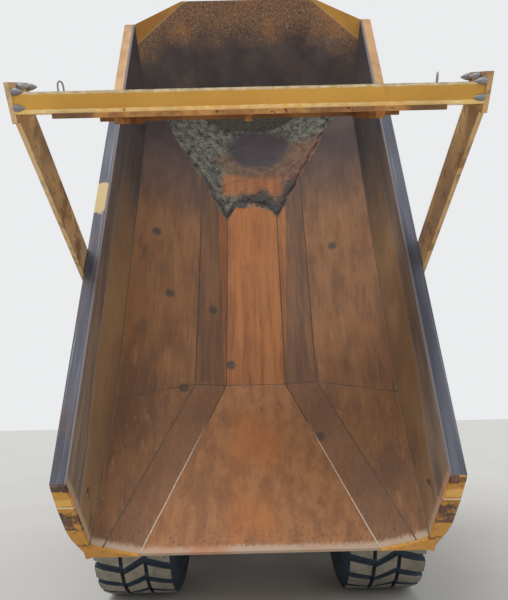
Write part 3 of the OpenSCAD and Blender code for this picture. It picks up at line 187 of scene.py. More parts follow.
# %% Finishes: patterns
class Patterns(NodeTree):
    """Numbers from 0 to 1 that say where something shows."""

    def noise(self, scale, detail=4.0, stretch=(1, 1, 1), rough=0.55, place=None, shift=0.0, turn=0.0):
        """Cloudy pattern from 0 to 1; a stretch above 1 packs it closer along that axis."""
        spread = self.add("ShaderNodeMapping", None, Vector=place or self.place, Scale=stretch,
                          Location=(shift, shift, shift), Rotation=(0, 0, turn)).outputs[0]
        return self.add("ShaderNodeTexNoise", None, Vector=spread, Scale=scale, Detail=detail,
                        Roughness=rough).outputs["Fac"]

    def between(self, value, low, high):
        """0 below low, 1 above high and smooth between; low above high turns it round."""
        return self.add("ShaderNodeMapRange", {"interpolation_type": "SMOOTHSTEP"}, Value=value,
                        From_Min=low, From_Max=high).outputs[0]

    def ramp(self, value, low, high, start=0.0, end=1.0):
        """A straight line from start to end while the value goes from low to high."""
        return self.add("ShaderNodeMapRange", None, Value=value, From_Min=low, From_Max=high,
                        To_Min=start, To_Max=end).outputs[0]

    def band(self, value, low, high, soft=0.004):
        """1 between low and high."""
        return self.times(self.between(value, low - soft, low + soft),
                          self.between(value, high + soft, high - soft))

    def near(self, point, radius):
        """1 within the radius of a point."""
        return self.between(self.vectors("DISTANCE", self.place, point), radius * 1.25, radius * 0.55)

    def facing(self, way):
        """How far a face looks along a way of the frame that the finish lies on."""
        normal = self.add("ShaderNodeMapping", {"vector_type": "TEXTURE"}, Vector=self.coords["Normal"],
                          Rotation=self.lies_on.to_euler()).outputs[0]
        return self.vectors("DOT_PRODUCT", normal, way)

    def edges(self, radius):
        """1 along outside and inside edges, 0 on the open face."""
        bent = self.add("ShaderNodeBevel", {"samples": 4}, Radius=radius).outputs[0]
        flat = self.add("ShaderNodeNewGeometry").outputs["True Normal"]
        return self.between(self.vectors("DOT_PRODUCT", bent, flat), 0.985, 0.80)


# %% [markdown]
# Colours are laid over each other like coats, each with a pattern that says where it shows. The
# last step feeds the shader: colour, roughness, metal, and bump for relief too fine to model.

# %% Finishes: coats of colour
class Finish(Patterns):
    """A material while it is being made."""

    def blend(self, share, under, over):
        mix = self.add("ShaderNodeMix", {"data_type": "RGBA"})
        for socket, value in zip((mix.inputs[0], mix.inputs[6], mix.inputs[7]), (share, under, over)):
            self.feed(socket, tint(*value) if isinstance(value, tuple) and len(value) == 3 else value)
        return mix.outputs[2]

    def two(self, pattern, dark, light, low=0.36, high=0.64):
        """Two shades that drift into each other."""
        return self.blend(self.between(pattern, low, high), dark, light)

    def layers(self, colour, *stack):
        """Lays shades over a colour. Each comes with its pattern and how much of it shows."""
        for pattern, strength, shade in stack:
            colour = self.blend(self.times(pattern, strength), colour, shade)
        return colour

    def done(self, colour, rough=0.5, metal=0.0, bump=None, depth=0.002, strength=0.6):
        self.feed(self.shader.inputs["Base Color"], colour)
        self.feed(self.shader.inputs["Roughness"], rough)
        self.feed(self.shader.inputs["Metallic"], metal)
        if bump is not None:
            normal = self.add("ShaderNodeBump", None, Height=bump, Distance=depth, Strength=strength)
            self.feed(self.shader.inputs["Normal"], normal.outputs[0])
        print("finish", self.material.name, len(self.tree.nodes), "nodes")
        return self.material


# %% [markdown]
# Yellow machine paint that has worked for years: two shades of ochre that drift into each other,
# brown dirt in soft patches, fine specks, and bare steel where the edges are rubbed. A part with
# marks of its own, such as a pale band or a dark end, hands them in as one more layer.

# %% Painted yellow
def worn_paint(name, shades, dirt=(104, 72, 40), dirt_share=0.55, bare=(120, 100, 84), gloss=0.45,
               marks=None):
    f = Finish(name)
    grime = f.between(f.noise(2.6, 8, rough=0.68, shift=7.0), dirt_share, dirt_share + 0.16)
    streaks = f.between(f.noise(1.0, 5, (9, 9, 1.2), shift=2.0), 0.60, 0.76)
    specks = f.between(f.noise(60, 3, shift=3.0), 0.66, 0.74)
    colour = f.layers(f.two(f.noise(0.9, 3), *shades), (grime, 1, dirt), (streaks, 0.35, (122, 84, 44)),
                      (specks, 0.55, (84, 60, 42)))
    if marks:
        colour = marks(f, colour)
    chips = f.times(f.edges(0.010), f.between(f.noise(9, 6, rough=0.7), 0.42, 0.60))
    colour = f.blend(chips, colour, bare)
    rough = f.add_up(f.times(grime, 0.3), gloss)
    return f.done(colour, rough, 0.0, f.add_up(f.noise(90, 2), f.times(chips, -0.8)), 0.0015, 0.35)


OCHRE, DEEP_OCHRE = (196, 142, 58), (174, 122, 50)
paint = worn_paint("worn_yellow_paint", (DEEP_OCHRE, OCHRE))
frame_paint = worn_paint("dusty_frame_paint", ((146, 108, 58), (176, 132, 64)), dirt_share=0.47, gloss=0.6)
cab_paint = worn_paint("clean_cab_paint", ((196, 142, 56), (204, 152, 62)), dirt_share=0.66, gloss=0.32)

# %% [markdown]
# Three yellow parts of the tail carry marks that place them. The gate's beam has a whitish upper
# edge of faded paint with a painted highlight, an ochre face, and a lower flange made bright by a
# painted highlight. The gate's arms are dirty where they leave their pivots, and their inner faces
# are browner. The plates round the tail are scorched and chipped, with one bright band under a pale
# weld.

# %% Yellow of the tail
# Distances out of the gate's panel: the top edge and the lower flange, both with a painted highlight
BEAM_LIT_EDGE, BEAM_LIT_FLANGE = (0.168, 0.178), (0.088, 0.082)
# Start, end and softness along the tail plane
SCORCHED = ((0.29, 0.53, 0.05), (0.665, 0.90, 0.04))
TAIL_GAP, BRIGHT_BAND, TAIL_WELD = (0.165, 0.178, 0.006), (0.56, 0.63, 0.012), (0.494, 0.506, 0.003)


def beam_marks_and_highlights(f, colour):
    x, along, out = f.axes(f.turned(ON_GATE))
    wander = f.times(f.noise(14, 4, (1, 3, 3)), 0.016)
    # The top edge is faded whitish paint with a painted highlight; the bright flange is a painted highlight.
    top = f.between(f.add_up(out, wander), *BEAM_LIT_EDGE)
    low = f.between(f.add_up(out, f.times(wander, 0.7)), *BEAM_LIT_FLANGE)
    dots = f.between(f.noise(11, 2, shift=8.0), 0.72, 0.76)
    return f.layers(
        colour,
        (f.noise(1.6, 4, shift=1.0), 0.3, (196, 142, 54)),
        (top, 0.9, f.two(f.noise(22, 4), (206, 186, 140), (236, 220, 186))),
        (low, 1, f.two(f.noise(18, 4), (246, 204, 120), (252, 226, 160))),
        (dots, 0.7, (96, 62, 36)))


def arm_marks(f, colour):
    x, along, up = f.axes(f.turned(ON_BODY @ GATE_OPEN))
    inner = f.between(f.times(f.axes(f.coords["Normal"])[0], x), -0.3, -0.9)
    patchy = f.between(f.noise(3, 5), 0.36, 0.64)
    rusty = f.between(f.noise(5, 7, rough=0.7, shift=4.0), 0.50, 0.62)
    dark = f.between(f.add_up(along, f.times(f.noise(6, 5), 0.25)), 0.72, 0.90)
    return f.layers(colour, (inner, patchy, (176, 144, 110)), (rusty, 0.7, (122, 84, 50)),
                    (dark, 1, (70, 46, 38)))


def tail_marks(f, colour):
    x, along, out = f.axes(f.turned(ON_TAIL))
    blotch = f.noise(9, 6, rough=0.66, shift=3.0)
    at = f.add_up(along, f.times(blotch, 0.10))
    burnt = f.add_up(f.noise(11, 6, rough=0.7), *(f.band(at, *place) for place in SCORCHED))
    speckle = f.between(f.noise(26, 5, rough=0.7, shift=6.0), 0.54, 0.64)
    weld = f.band(f.add_up(along, f.times(f.noise(20, 3), 0.012)), *TAIL_WELD)
    return f.layers(
        colour,
        (f.between(burnt, 1.34, 1.50), 1, f.two(blotch, (62, 44, 38), (104, 70, 48))),
        (speckle, 0.55, (128, 84, 44)),
        (f.band(at, *TAIL_GAP), 0.8, (70, 48, 34)),
        (f.band(at, *BRIGHT_BAND), 1, (226, 172, 84)),
        (weld, 0.85, (238, 224, 196)))


beam_paint = worn_paint("gate_beam_paint", ((208, 154, 56), (226, 170, 68)), dirt=(150, 104, 56),
                        dirt_share=0.64, marks=beam_marks_and_highlights)
arm_paint = worn_paint("gate_arm_paint", ((210, 168, 110), (228, 192, 140)), dirt_share=0.60, marks=arm_marks)
tail_paint = worn_paint("tail_plate_paint", ((190, 130, 48), (214, 156, 62)), dirt=(84, 56, 38),
                        dirt_share=0.57, marks=tail_marks)

# %% [markdown]
# Dark parts are black paint and cast steel under road dust. The same form serves them all: a base,
# a lighter dust on top, and grey metal on the edges. Polished rods stay nearly clean, and the steel
# of a deck has raised lozenges for the feet.

# %% Dark paint, steel, chrome and small parts
def dusty(name, shades, dust, dust_share, metal=0.0, gloss=0.5, bare=(128, 124, 122), grain=70, lozenge=0.0):
    f = Finish(name)
    colour = f.two(f.noise(1.6, 5), *shades)
    powder = f.between(f.noise(4.5, 8, rough=0.7, shift=5.0), dust_share, dust_share + 0.22)
    colour = f.blend(powder, colour, dust)
    rubbed = f.times(f.edges(0.008), f.between(f.noise(12, 5), 0.40, 0.58))
    colour = f.blend(rubbed, colour, bare)
    rough = f.add_up(f.times(powder, 0.35), gloss)
    relief = f.noise(grain, 3)
    if lozenge:
        x, y, z = f.axes()
        across = f.maths("SINE", f.times(f.add_up(x, y), lozenge))
        other = f.maths("SINE", f.times(f.add_up(x, f.times(y, -1.0)), lozenge))
        raised = f.between(f.times(across, other), 0.15, 0.55)
        relief = f.add_up(f.times(relief, 0.3), raised)
        colour = f.blend(f.times(raised, 0.35), colour, bare)
    return f.done(colour, rough, metal, relief, 0.001, 0.4)


black_paint = dusty("black_paint", ((38, 38, 39), (48, 47, 47)), (112, 100, 84), 0.50)
deck_plate = dusty("deck_plate", ((40, 40, 41), (50, 49, 49)), (118, 108, 92), 0.46, gloss=0.55, lozenge=95)
axle_paint = dusty("dusty_axle_paint", ((58, 54, 50), (74, 68, 60)), (124, 112, 94), 0.44, gloss=0.6)
cast_steel = dusty("cast_steel", ((78, 77, 80), (98, 96, 98)), (116, 104, 88), 0.50, 0.3)
bolt_steel = dusty("bolt_steel", ((126, 126, 130), (150, 150, 152)), (120, 104, 86), 0.6, 0.5, 0.42)
chrome = dusty("polished_chrome", ((192, 194, 198), (205, 207, 210)), (150, 138, 120), 0.66, 1.0, 0.12,
               (220, 220, 222), 200)
trim = dusty("cab_trim", ((46, 46, 50), (58, 58, 62)), (84, 80, 74), 0.62, gloss=0.7, grain=220)
dial_face = dusty("dial_face", ((196, 198, 192), (210, 212, 206)), (150, 146, 134), 0.7, gloss=0.3, grain=150)
mirror_glass = dusty("mirror_glass", ((176, 184, 190), (188, 196, 202)), (150, 144, 132), 0.6, 1.0, 0.06,
                     (200, 204, 208), 12)
stack_steel = dusty("stack_steel", ((92, 74, 60), (120, 96, 74)), (70, 60, 56), 0.48, 0.6, 0.5,
                    (150, 128, 96), 90)

# %% [markdown]
# The finishes inside the body share the values that their patterns read: how far a point lies along
# the body, up from it and out from its middle. Two of their patterns are shared too. The outer
# faces of the plates keep yellow paint, gone brown in clouds. The earth that dried in the front has
# a grey grain, with browner shades on the right and below its hollow, an orange tongue in the
# middle and a dark rim. Its edge is a ragged line that steps back beside the floor.

# %% Inside the body: outer paint and dried earth
HOLLOW, HOLLOW_REACH = (0.10, 3.60), (0.42, 0.34)
SHORE_U, SHORE_SLOPE, SHORE_X = 2.50, 1.78, 0.316
BAY_X, BAY_DEPTH = (0.17, 0.31), 0.18


class BodyFinish(Finish):
    """A finish of the body's plates, with the places that its layers read."""

    def __init__(self, name):
        super().__init__(name, ON_BODY)
        self.x, self.along, self.up = self.axes()
        self.side = self.maths("ABSOLUTE", self.x)


def outer_paint(f):
    """Worn yellow of the body's outer faces."""
    clouds = f.noise(2.4, 8, rough=0.7, place=f.coords["Object"])
    return f.two(clouds, (182, 132, 56), (112, 80, 46), 0.5, 0.68)


def dried_earth(f):
    """Shades of the earth, its grain, and how far a point lies inside its edge."""
    slant = f.times(f.ramp(f.side, SHORE_X, SHORE_X + 1, 0.0, SHORE_SLOPE), -1.0)
    bay = f.times(f.between(f.side, BAY_X[1], BAY_X[0]), -BAY_DEPTH)
    ragged = f.times(f.add_up(f.noise(6, 6, rough=0.65), -0.5), 0.36)
    shore = f.add_up(f.along, slant, bay, ragged, -SHORE_U)
    at = f.add_up(f.along, ragged)
    grain = f.noise(55, 6, rough=0.75)
    lumps = f.times(f.add_up(grain, f.noise(13, 6, rough=0.7)), 0.5)
    strokes = f.noise(1.0, 6, (12, 1.0, 12), 0.6, shift=2.0)

    def lumpy(dark, light):
        return f.two(lumps, dark, light, 0.40, 0.60)

    right = f.times(f.between(f.add_up(f.x, f.times(ragged, 0.5)), 0.22, 0.34), f.between(at, 3.66, 3.46))
    tongue = f.times(f.between(f.side, 0.40, 0.32), f.between(f.along, 3.30, 3.10),
                     f.between(f.along, 2.78, 2.90))
    in_hollow = f.add("ShaderNodeMapping", {"vector_type": "TEXTURE"}, Vector=f.place,
                      Location=(*HOLLOW, FLOOR_W), Scale=(*HOLLOW_REACH, 3.0)).outputs[0]
    hollow = f.add_up(f.vectors("LENGTH", in_hollow), ragged)
    below = f.times(f.between(hollow, 1.6, 1.2), f.between(at, 3.56, 3.40))
    inland = f.add_up(shore, f.times(f.between(f.x, -0.25, 0.1), -0.10))
    rim = f.times(f.between(shore, 0.0, 0.03), f.between(inland, 0.20, 0.05), f.between(at, 3.14, 2.94))
    earth = f.layers(
        lumpy((50, 50, 48), (138, 136, 122)),
        (right, 1, lumpy((92, 72, 62), (142, 104, 84))),
        (tongue, 1, f.two(strokes, (148, 96, 64), (172, 116, 78))),
        (below, 1, lumpy((96, 76, 62), (134, 108, 88))),
        (f.between(hollow, 1.15, 0.75), 1, f.two(f.noise(0.7, 3, shift=8.0), (70, 62, 66), (86, 76, 78))),
        (rim, 0.92, f.two(grain, (58, 54, 54), (84, 76, 72))))
    return earth, grain, shore


def earth_finish(name):
    f = BodyFinish(name)
    earth, grain, shore = dried_earth(f)
    return f.done(earth, 0.9, 0.0, grain, 0.006, 0.7)


crust_earth = earth_finish("dried_earth")

# %% [markdown]
# The load floor is bare plate, scraped by rock and rusted again. Zones follow the creases, because
# the plates wear at different rates: the flat strip down the middle is the most orange, the
# chamfers beside it are darker, the wide slopes are brown with faint slanting scrapes, and the
# upright sides are grey-brown. On the sides a painted highlight draws a fold, the plate above it is
# greyer with painted shade, and painted shade darkens them towards the front.

# %% Rusty plate: the zones
# Distance of a crease from the middle, in front of the kink and at the lip
CREASE_X = ((0.310, 0.900), (0.600, 1.164), (1.282, 1.246))


def plate_zones(f, brush, clouds):
    """Base colour of the four kinds of plate, and 1 where a plate is a slope or a side."""
    chute = f.ramp(f.along, KINK_U, LIP[0])
    in_chute = f.between(f.along, KINK_U + 0.02, KINK_U - 0.02)
    wander = f.times(f.add_up(f.noise(7, 4), -0.5), 0.02)
    spill = f.ramp(f.along, KINK_U, 2.4, 0.0, -0.09)
    slant = f.noise(1.0, 6, (9, 2.2, 9), 0.6, shift=6.0, turn=0.5)

    def past_crease(number, *shifts):
        line = f.ramp(chute, 0.0, 1.0, *CREASE_X[number])
        return f.between(f.add_up(f.side, f.times(line, -1.0), *shifts), -0.006, 0.006)

    middle = f.blend(in_chute, f.two(brush, (136, 86, 52), (172, 112, 66)),
                     f.two(brush, (138, 94, 62), (164, 114, 74)))
    beside = f.blend(in_chute, f.two(brush, (104, 76, 58), (128, 92, 66)),
                     f.two(clouds, (122, 86, 62), (136, 98, 70)))
    wide = f.two(f.times(f.add_up(clouds, slant), 0.5), (116, 82, 58), (148, 104, 68), 0.38, 0.60)
    # The fold's bright line is a painted highlight, and the greyer plate above the fold is painted shade.
    fold = f.band(f.add_up(f.up, f.times(wander, 0.3)), FOLD_W - 0.005, FOLD_W + 0.007, 0.003)
    upper = f.layers(
        f.two(clouds, (142, 114, 84), (166, 134, 98)),
        (f.between(f.up, FOLD_W - 0.006, FOLD_W + 0.006), 1, f.two(brush, (112, 100, 90), (146, 128, 110))),
        (fold, 0.8, (150, 150, 152)),
        # Painted shade: the sides darken towards the front, deep in the body.
        (f.between(f.along, 1.2, 3.0), 0.92, f.two(brush, (54, 57, 64), (80, 81, 84))))
    slope = past_crease(1)
    zones = f.layers(middle, (past_crease(0, wander, spill), 1, beside), (slope, 1, wide),
                     (past_crease(2), 1, upper))
    return zones, slope


# %% [markdown]
# Wear and painted shade come next. Fine streaks run the way the load slides, scrapes cross the
# slopes, and painted shade darkens the sides where they stand deep in the body. At the tail a pale
# band is worn along the edge, with dark strokes that run into it. A few round marks lie where rocks
# have struck.

# %% Rusty plate: the wear and painted shade
MARKS = ((-1.063, 2.094, 0.291), (-0.886, 1.340, 0.212), (-0.446, 1.231, 0.010), (-0.701, 0.316, 0.136),
         (-0.254, 0.620, -0.060), (0.880, 1.900, 0.210), (0.560, -0.200, 0.250))
MARK_RADIUS = 0.055
LIP_SLOPE = 0.765


def wear_and_painted_shade(f, colour, slope, clouds, fibre):
    soft = f.noise(0.7, 3, shift=8.0)
    scrapes = f.between(f.noise(1.0, 4, (22, 1.6, 22), 0.5, shift=3.0, turn=0.55), 0.60, 0.70)
    return f.layers(
        colour,
        (f.times(f.between(f.side, 0.34, 0.10), f.between(soft, 0.42, 0.60)), 0.65, (182, 112, 58)),
        (f.between(fibre, 0.50, 0.74), 0.30, (176, 122, 80)),
        (f.between(fibre, 0.46, 0.28), 0.35, (84, 56, 42)),
        (f.between(soft, 0.55, 0.70), 0.35, (104, 76, 60)),
        (f.times(scrapes, slope), 0.30, (176, 138, 104)),
        # Painted shade: the sides grow dark where they stand deep in the body, towards the front.
        (f.times(f.between(f.along, 2.0, 3.6), f.between(f.side, 0.40, 0.62)), 0.85,
         f.two(clouds, (58, 54, 60), (84, 74, 74))))


def worn_lip(f, colour, fibre):
    to_edge = f.add_up(f.along, f.times(f.add_up(f.up, -LIP[1]), -LIP_SLOPE), -LIP[0])
    strokes = f.times(f.between(to_edge, 0.42, 0.10),
                      f.between(f.noise(1.0, 4, (70, 2.0, 70), 0.5, shift=5.0), 0.56, 0.66))
    pale = f.between(f.add_up(to_edge, f.times(fibre, 0.09)), 0.125, 0.075)
    worn = f.blend(f.between(f.noise(0.9, 4, shift=1.5), 0.42, 0.60), (184, 162, 140), (186, 118, 82))
    return f.layers(colour, (strokes, 0.5, (74, 50, 40)), (pale, 0.9, worn))


def struck(f, colour):
    for point in MARKS:
        smudge = f.add_up(f.noise(24, 4), 0.35)
        colour = f.layers(colour, (f.near(point, MARK_RADIUS), smudge, (72, 66, 62)))
    return colour


# %% [markdown]
# One finish now stacks these layers: zones, wear and painted shade, lip, round marks and the caked
# earth. Only faces that look into the body are rusty. A face looks inwards where its own direction
# points to a line down the middle of the load, and that tells it from the yellow outside of the same
# plate.

# %% Rusty plate: all its layers
LOAD_W = 1.3
SIDE_X = (1.368, 1.364)
TOP_EDGE = (1.176, 1.180, 1.186)


def rusty_plate(name):
    f = BodyFinish(name)
    fibre = f.noise(1.0, 8, (44, 3.2, 44), 0.6)
    brush = f.noise(1.0, 6, (12, 1.0, 12), 0.6, shift=2.0)
    clouds = f.noise(1.3, 7, shift=4.0)
    colour, slope = plate_zones(f, brush, clouds)
    colour = wear_and_painted_shade(f, colour, slope, clouds, fibre)
    colour = struck(f, worn_lip(f, colour, fibre))
    earth, grain, shore = dried_earth(f)
    caked = f.times(f.between(shore, -0.02, 0.02), f.between(f.up, 0.60, 0.45))
    pits = f.between(f.noise(38, 4), 0.64, 0.74)
    colour = f.layers(colour, (caked, 1, earth), (pits, 0.30, (66, 46, 38)),
                      (f.between(f.up, *TOP_EDGE[1:]), 1, (118, 112, 116)))
    middle = f.add("ShaderNodeCombineXYZ", None, X=0.0, Y=f.along, Z=LOAD_W).outputs[0]
    inside = f.times(f.between(f.facing(f.vectors("SUBTRACT", middle, f.place)), -0.01, 0.01),
                     f.between(f.side, *SIDE_X))
    inside = f.maths("MAXIMUM", inside, f.between(f.up, *TOP_EDGE[:2]))
    colour = f.blend(inside, outer_paint(f), colour)
    height = f.add_up(f.times(fibre, 0.6), f.times(pits, -0.5),
                      f.times(caked, f.add_up(f.times(grain, 3.0), 1.0)))
    return f.done(colour, 0.74, 0.1, height, 0.004, 0.5)


rust = rusty_plate("rusty_plate")

# %% [markdown]
# The front wall is hit by every load, so it keeps its own pattern: rough orange rust with pale
# flecks in a band along the top, smooth violet-grey below, and yellow paint left in both corners.

# %% Front wall
CORNER = 4.40


def wall_plate(name):
    f = BodyFinish(name)
    clouds = f.noise(2.2, 7, rough=0.62)
    flecks = f.noise(60, 6, rough=0.72)
    rough_rust = f.layers(
        f.two(flecks, (96, 74, 58), (166, 124, 92), 0.38, 0.62),
        (f.between(clouds, 0.50, 0.62), 1, f.two(flecks, (120, 82, 54), (180, 132, 88))),
        (f.between(f.noise(48, 4, shift=3.0), 0.62, 0.70), 1, (206, 190, 160)))
    high = f.between(f.add_up(f.up, f.times(f.add_up(clouds, flecks, -1.0), 0.35)), 0.78, 1.06)
    low = f.between(f.add_up(f.up, f.times(clouds, 0.3)), 0.42, 0.22)
    to_corner = f.add_up(f.side, f.times(f.up, 3.0))
    corner = f.between(f.add_up(to_corner, f.times(flecks, 0.04)), CORNER, CORNER + 0.03)
    colour = f.layers(
        f.two(clouds, (72, 64, 65), (98, 85, 80)),
        (high, 1, rough_rust),
        (corner, 1, f.two(clouds, (172, 122, 56), (204, 150, 66))),
        (f.band(to_corner, CORNER - 0.025, CORNER + 0.005, 0.012), 0.7, (196, 168, 128)),
        (low, 1, f.two(flecks, (60, 58, 54), (118, 112, 100))))
    inside = f.between(f.facing((0.0, -1.0, LEAN)), 0.30, 0.32)
    colour = f.blend(inside, outer_paint(f), colour)
    return f.done(colour, 0.76, 0.1, f.add_up(flecks, clouds), 0.004, 0.5)


wall = wall_plate("front_wall_plate")

# %% [markdown]
# The gate's panel and the top rails are plain steel with long scratches that run the way the load
# goes. Each adds marks of its own: dark spots and ends and an ochre inner strip on the panel, and
# on the rails a tan front end and one bright patch, with a painted shadow along their inner edge.

# %% Gate panel and top rails
def long_scratched(name, matrix, dark, light, scratch, gloss, marks):
    f = Finish(name, matrix)
    rusty = f.between(f.noise(1.6, 7, (1, 0.6, 1), 0.66, shift=3.0), 0.54, 0.68)
    lines = f.between(f.noise(1.0, 4, (60, 0.8, 60), 0.5, shift=5.0), 0.58, 0.68)
    colour = f.layers(f.two(f.noise(1.0, 6, (10, 0.9, 10)), dark, light), (rusty, 0.6, (104, 74, 56)),
                      (lines, 0.6, scratch))
    return f.done(marks(f, colour), gloss, 0.15, f.noise(50, 4), 0.002, 0.4)


def panel_marks(f, colour):
    x, along, out = f.axes()
    dots = f.between(f.noise(24, 4, shift=2.0), 0.62, 0.68)
    end = f.between(f.add_up(f.maths("ABSOLUTE", x), f.times(f.noise(5, 5), 0.2)), 1.02, 1.10)
    return f.layers(colour, (dots, 0.8, (90, 48, 34)), (end, 0.75, (92, 66, 48)),
                    (f.between(along, 0.20, 0.30), 1, f.two(f.noise(3, 6), (140, 94, 54), (178, 122, 66))))


def rail_marks_and_shadow(f, colour):
    x, along, up = f.axes()
    at = f.add_up(along, f.times(f.add_up(f.noise(9, 5), -0.5), 0.5))
    patch = f.times(f.band(at, 1.66, 1.98, 0.02), f.between(x, 0.0, -0.1))
    # The rail's inner edge is darkened by a painted shadow.
    inner = f.times(f.between(f.maths("ABSOLUTE", x), 1.362, 1.350), f.between(up, *TOP_EDGE[1:]))
    return f.layers(
        colour,
        (f.between(at, 3.05, 3.25), 1, f.two(f.noise(3, 6), (160, 122, 82), (196, 154, 108))),
        (patch, 0.9, (196, 172, 118)),
        (inner, 0.6, (66, 58, 62)))


panel = long_scratched("gate_panel_plate", ON_GATE, (164, 112, 62), (204, 148, 82), (122, 80, 52), 0.7,
                       panel_marks)
rail_steel = long_scratched("top_rail_steel", ON_BODY, (64, 66, 78), (90, 92, 104), (140, 140, 146), 0.55,
                            rail_marks_and_shadow)

# %% [markdown]
# Glass is clear with a film of dust. A rear lamp is one solid, so its colour changes at the face
# of its bracket: black behind, red and ribbed in front.

# %% Glass and lamps
def clear(name, colour, rough, through, grain=0.0, bracket=None):
    f = Finish(name)
    smear = f.noise(3.0, 6, (1, 1, 0.4))
    colour = f.blend(f.between(smear, 0.45, 0.75), colour, (150, 140, 122))
    if bracket is not None:
        colour = f.blend(f.between(f.axes()[1], bracket - 0.001, bracket + 0.001), colour, (44, 43, 43))
    f.shader.inputs["Transmission Weight"].default_value = through
    f.shader.inputs["IOR"].default_value = 1.45
    rough = f.add_up(f.times(smear, 0.12), rough)
    ribs = f.noise(1.0, 1, (grain, grain, 0), 0.3) if grain else f.noise(2, 1)
    return f.done(colour, rough, 0.0, ribs, 0.002, 0.3)


window_glass = clear("window_glass", (176, 196, 200), 0.03, 0.85)
lens_glass = clear("lamp_lens", (226, 228, 218), 0.08, 0.45, 90)
red_lens = clear("rear_lamp", (158, 26, 20), 0.14, 0.0, 120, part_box("rear_lamps")[1].y - 0.012)

# %% [markdown]
# Tyre rubber is nearly black where it is clean. Here the grooves stay dark and blue, and the tops
# of the blocks, which meet the ground, carry a dry layer of beige dust. The seat's cloth is a plain
# weave: two crossed waves raise its threads.

# %% Rubber and seat cloth
def rubber(name, dark, dust, dust_low, dust_high):
    f = Finish(name)
    powder = f.between(f.noise(7, 8, rough=0.7), dust_low, dust_high)
    colour = f.blend(powder, dark, dust)
    cuts = f.between(f.noise(26, 3, shift=3.0), 0.64, 0.70)
    colour = f.blend(f.times(cuts, 0.5), colour, (56, 58, 60))
    return f.done(colour, 0.88, 0.0, f.noise(45, 6, rough=0.7), 0.004, 0.45)


groove_rubber = rubber("groove_rubber", (42, 56, 68), (72, 78, 80), 0.50, 0.80)
tread_rubber = rubber("dusty_tread", (118, 112, 102), (146, 138, 124), 0.34, 0.62)
seal_rubber = rubber("seal_rubber", (34, 34, 35), (70, 66, 60), 0.55, 0.8)


def woven(name, dark, light, threads=700):
    f = Finish(name)
    x, y, z = f.axes()
    over = f.maths("SINE", f.times(x, threads))
    under = f.maths("SINE", f.times(f.add_up(y, z), threads))
    weave = f.times(over, under)
    colour = f.blend(f.between(weave, -0.4, 0.6), dark, light)
    colour = f.blend(f.times(f.between(f.noise(3, 6), 0.5, 0.7), 0.5), colour, (92, 86, 76))
    f.shader.inputs["Sheen Weight"].default_value = 0.3
    return f.done(colour, 0.92, 0.0, weave, 0.0006, 0.5)


seat_cloth = woven("seat_cloth", (52, 54, 60), (78, 80, 86))

# %% [markdown]
# Each node of the frame takes one of these finishes. Its own colour slot stays the record's; only
# the material in the slot is exchanged.

# %% Dress the solids
DRESS = {
    paint: ("body_runners", "body_ribs"),
    beam_paint: ("tailgate_beam",),
    arm_paint: ("tailgate_arms",),
    tail_paint: ("body_end_frame",),
    frame_paint: ("rear_frame", "front_frame", "tow_hitch", "hydraulic_tank"),
    cab_paint: ("cab_shell", "door", "hood", "handrails"),
    rust: ("body_floor", "body_sides"),
    wall: ("body_front_wall",),
    panel: ("tailgate_panel",),
    rail_steel: ("body_rails",),
    stack_steel: ("exhaust_stack",),
    cast_steel: ("hitch", "engine_block"),
    axle_paint: ("rear_axle", "mid_axle", "front_axle", "bogie_beams", "prop_shafts"),
    black_paint: ("bumper", "fuel_tank", "mirrors", "grille"),
    deck_plate: ("front_mudguards", "access_steps"),
    trim: ("cab_fittings",),
    window_glass: ("cab_glass", "door_glass"),
    lens_glass: ("head_lamps",),
    red_lens: ("rear_lamps",),
}
for finish, names in DRESS.items():
    for name in names:
        for part in nodes[name].material_slots:
            part.material = finish
for name, node in nodes.items():
    kind = name.split("_")[1] if name.startswith(("hoist", "steer")) else name.split("_")[0]
    finish = {"barrel": frame_paint, "rod": chrome, "rim": paint, "tyre": groove_rubber}.get(kind)
    for part in node.material_slots if finish else ():
        part.material = finish
print(len(nodes), "solids dressed")

# %% [markdown]
# Every added piece is built in a bmesh and becomes one object. The object stays at the origin and
# its place is in its mesh, so a pattern on the object's coordinates lies still when a part moves.

# %% Pieces: from a bmesh to an object
def piece(name, bm, body, slot, *finishes, stands_for=(), at=None):
    """Makes a bmesh one object; a piece that was drawn flat is laid in its place first."""
    if at is not None:
        bmesh.ops.transform(bm, matrix=at, verts=bm.verts)
    mesh = bpy.data.meshes.new(name)
    bm.to_mesh(mesh)
    bm.free()
    for finish in finishes:
        mesh.materials.append(finish)
    obj = bpy.data.objects.new(name, mesh)
    bpy.context.scene.collection.objects.link(obj)
    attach(obj, body)
    if stands_for:
        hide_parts(*stands_for)
    print(name, len(mesh.polygons), "faces")
    return obj


def put(bm, part, at=Matrix()):
    """Moves a finished part into place and joins it to a larger bmesh."""
    bmesh.ops.transform(part, matrix=at, verts=part.verts)
    if at.determinant() < 0:
        bmesh.ops.reverse_faces(part, faces=part.faces)
    mesh = bpy.data.meshes.new("part")
    part.to_mesh(mesh)
    part.free()
    bm.from_mesh(mesh)
    bpy.data.meshes.remove(mesh)


def paint_all(part, index):
    """Gives every face of a part one of its object's finishes."""
    for face in part.faces:
        face.material_index = index
    return part


# %% [markdown]
# Boxes and plates with softened edges make up most fittings. A box is a cube stretched between two
# corners. A plate's outline is one face, extruded, which suits any part that keeps its side view
# all the way across.

# %% Shapes: blocks and plates
def block(low, high, round_off=0.0, segments=2):
    """A box between two corners with its edges rounded off."""
    part = bmesh.new()
    bmesh.ops.create_cube(part, size=1)
    low, high = Vector(low), Vector(high)
    bmesh.ops.transform(part, verts=part.verts,
                        matrix=Matrix.Translation((low + high) / 2) @ Matrix.Diagonal((*(high - low), 1)))
    if round_off:
        bmesh.ops.bevel(part, geom=part.edges, offset=round_off, segments=segments, profile=0.5,
                        affect="EDGES", material=-1)
    return part


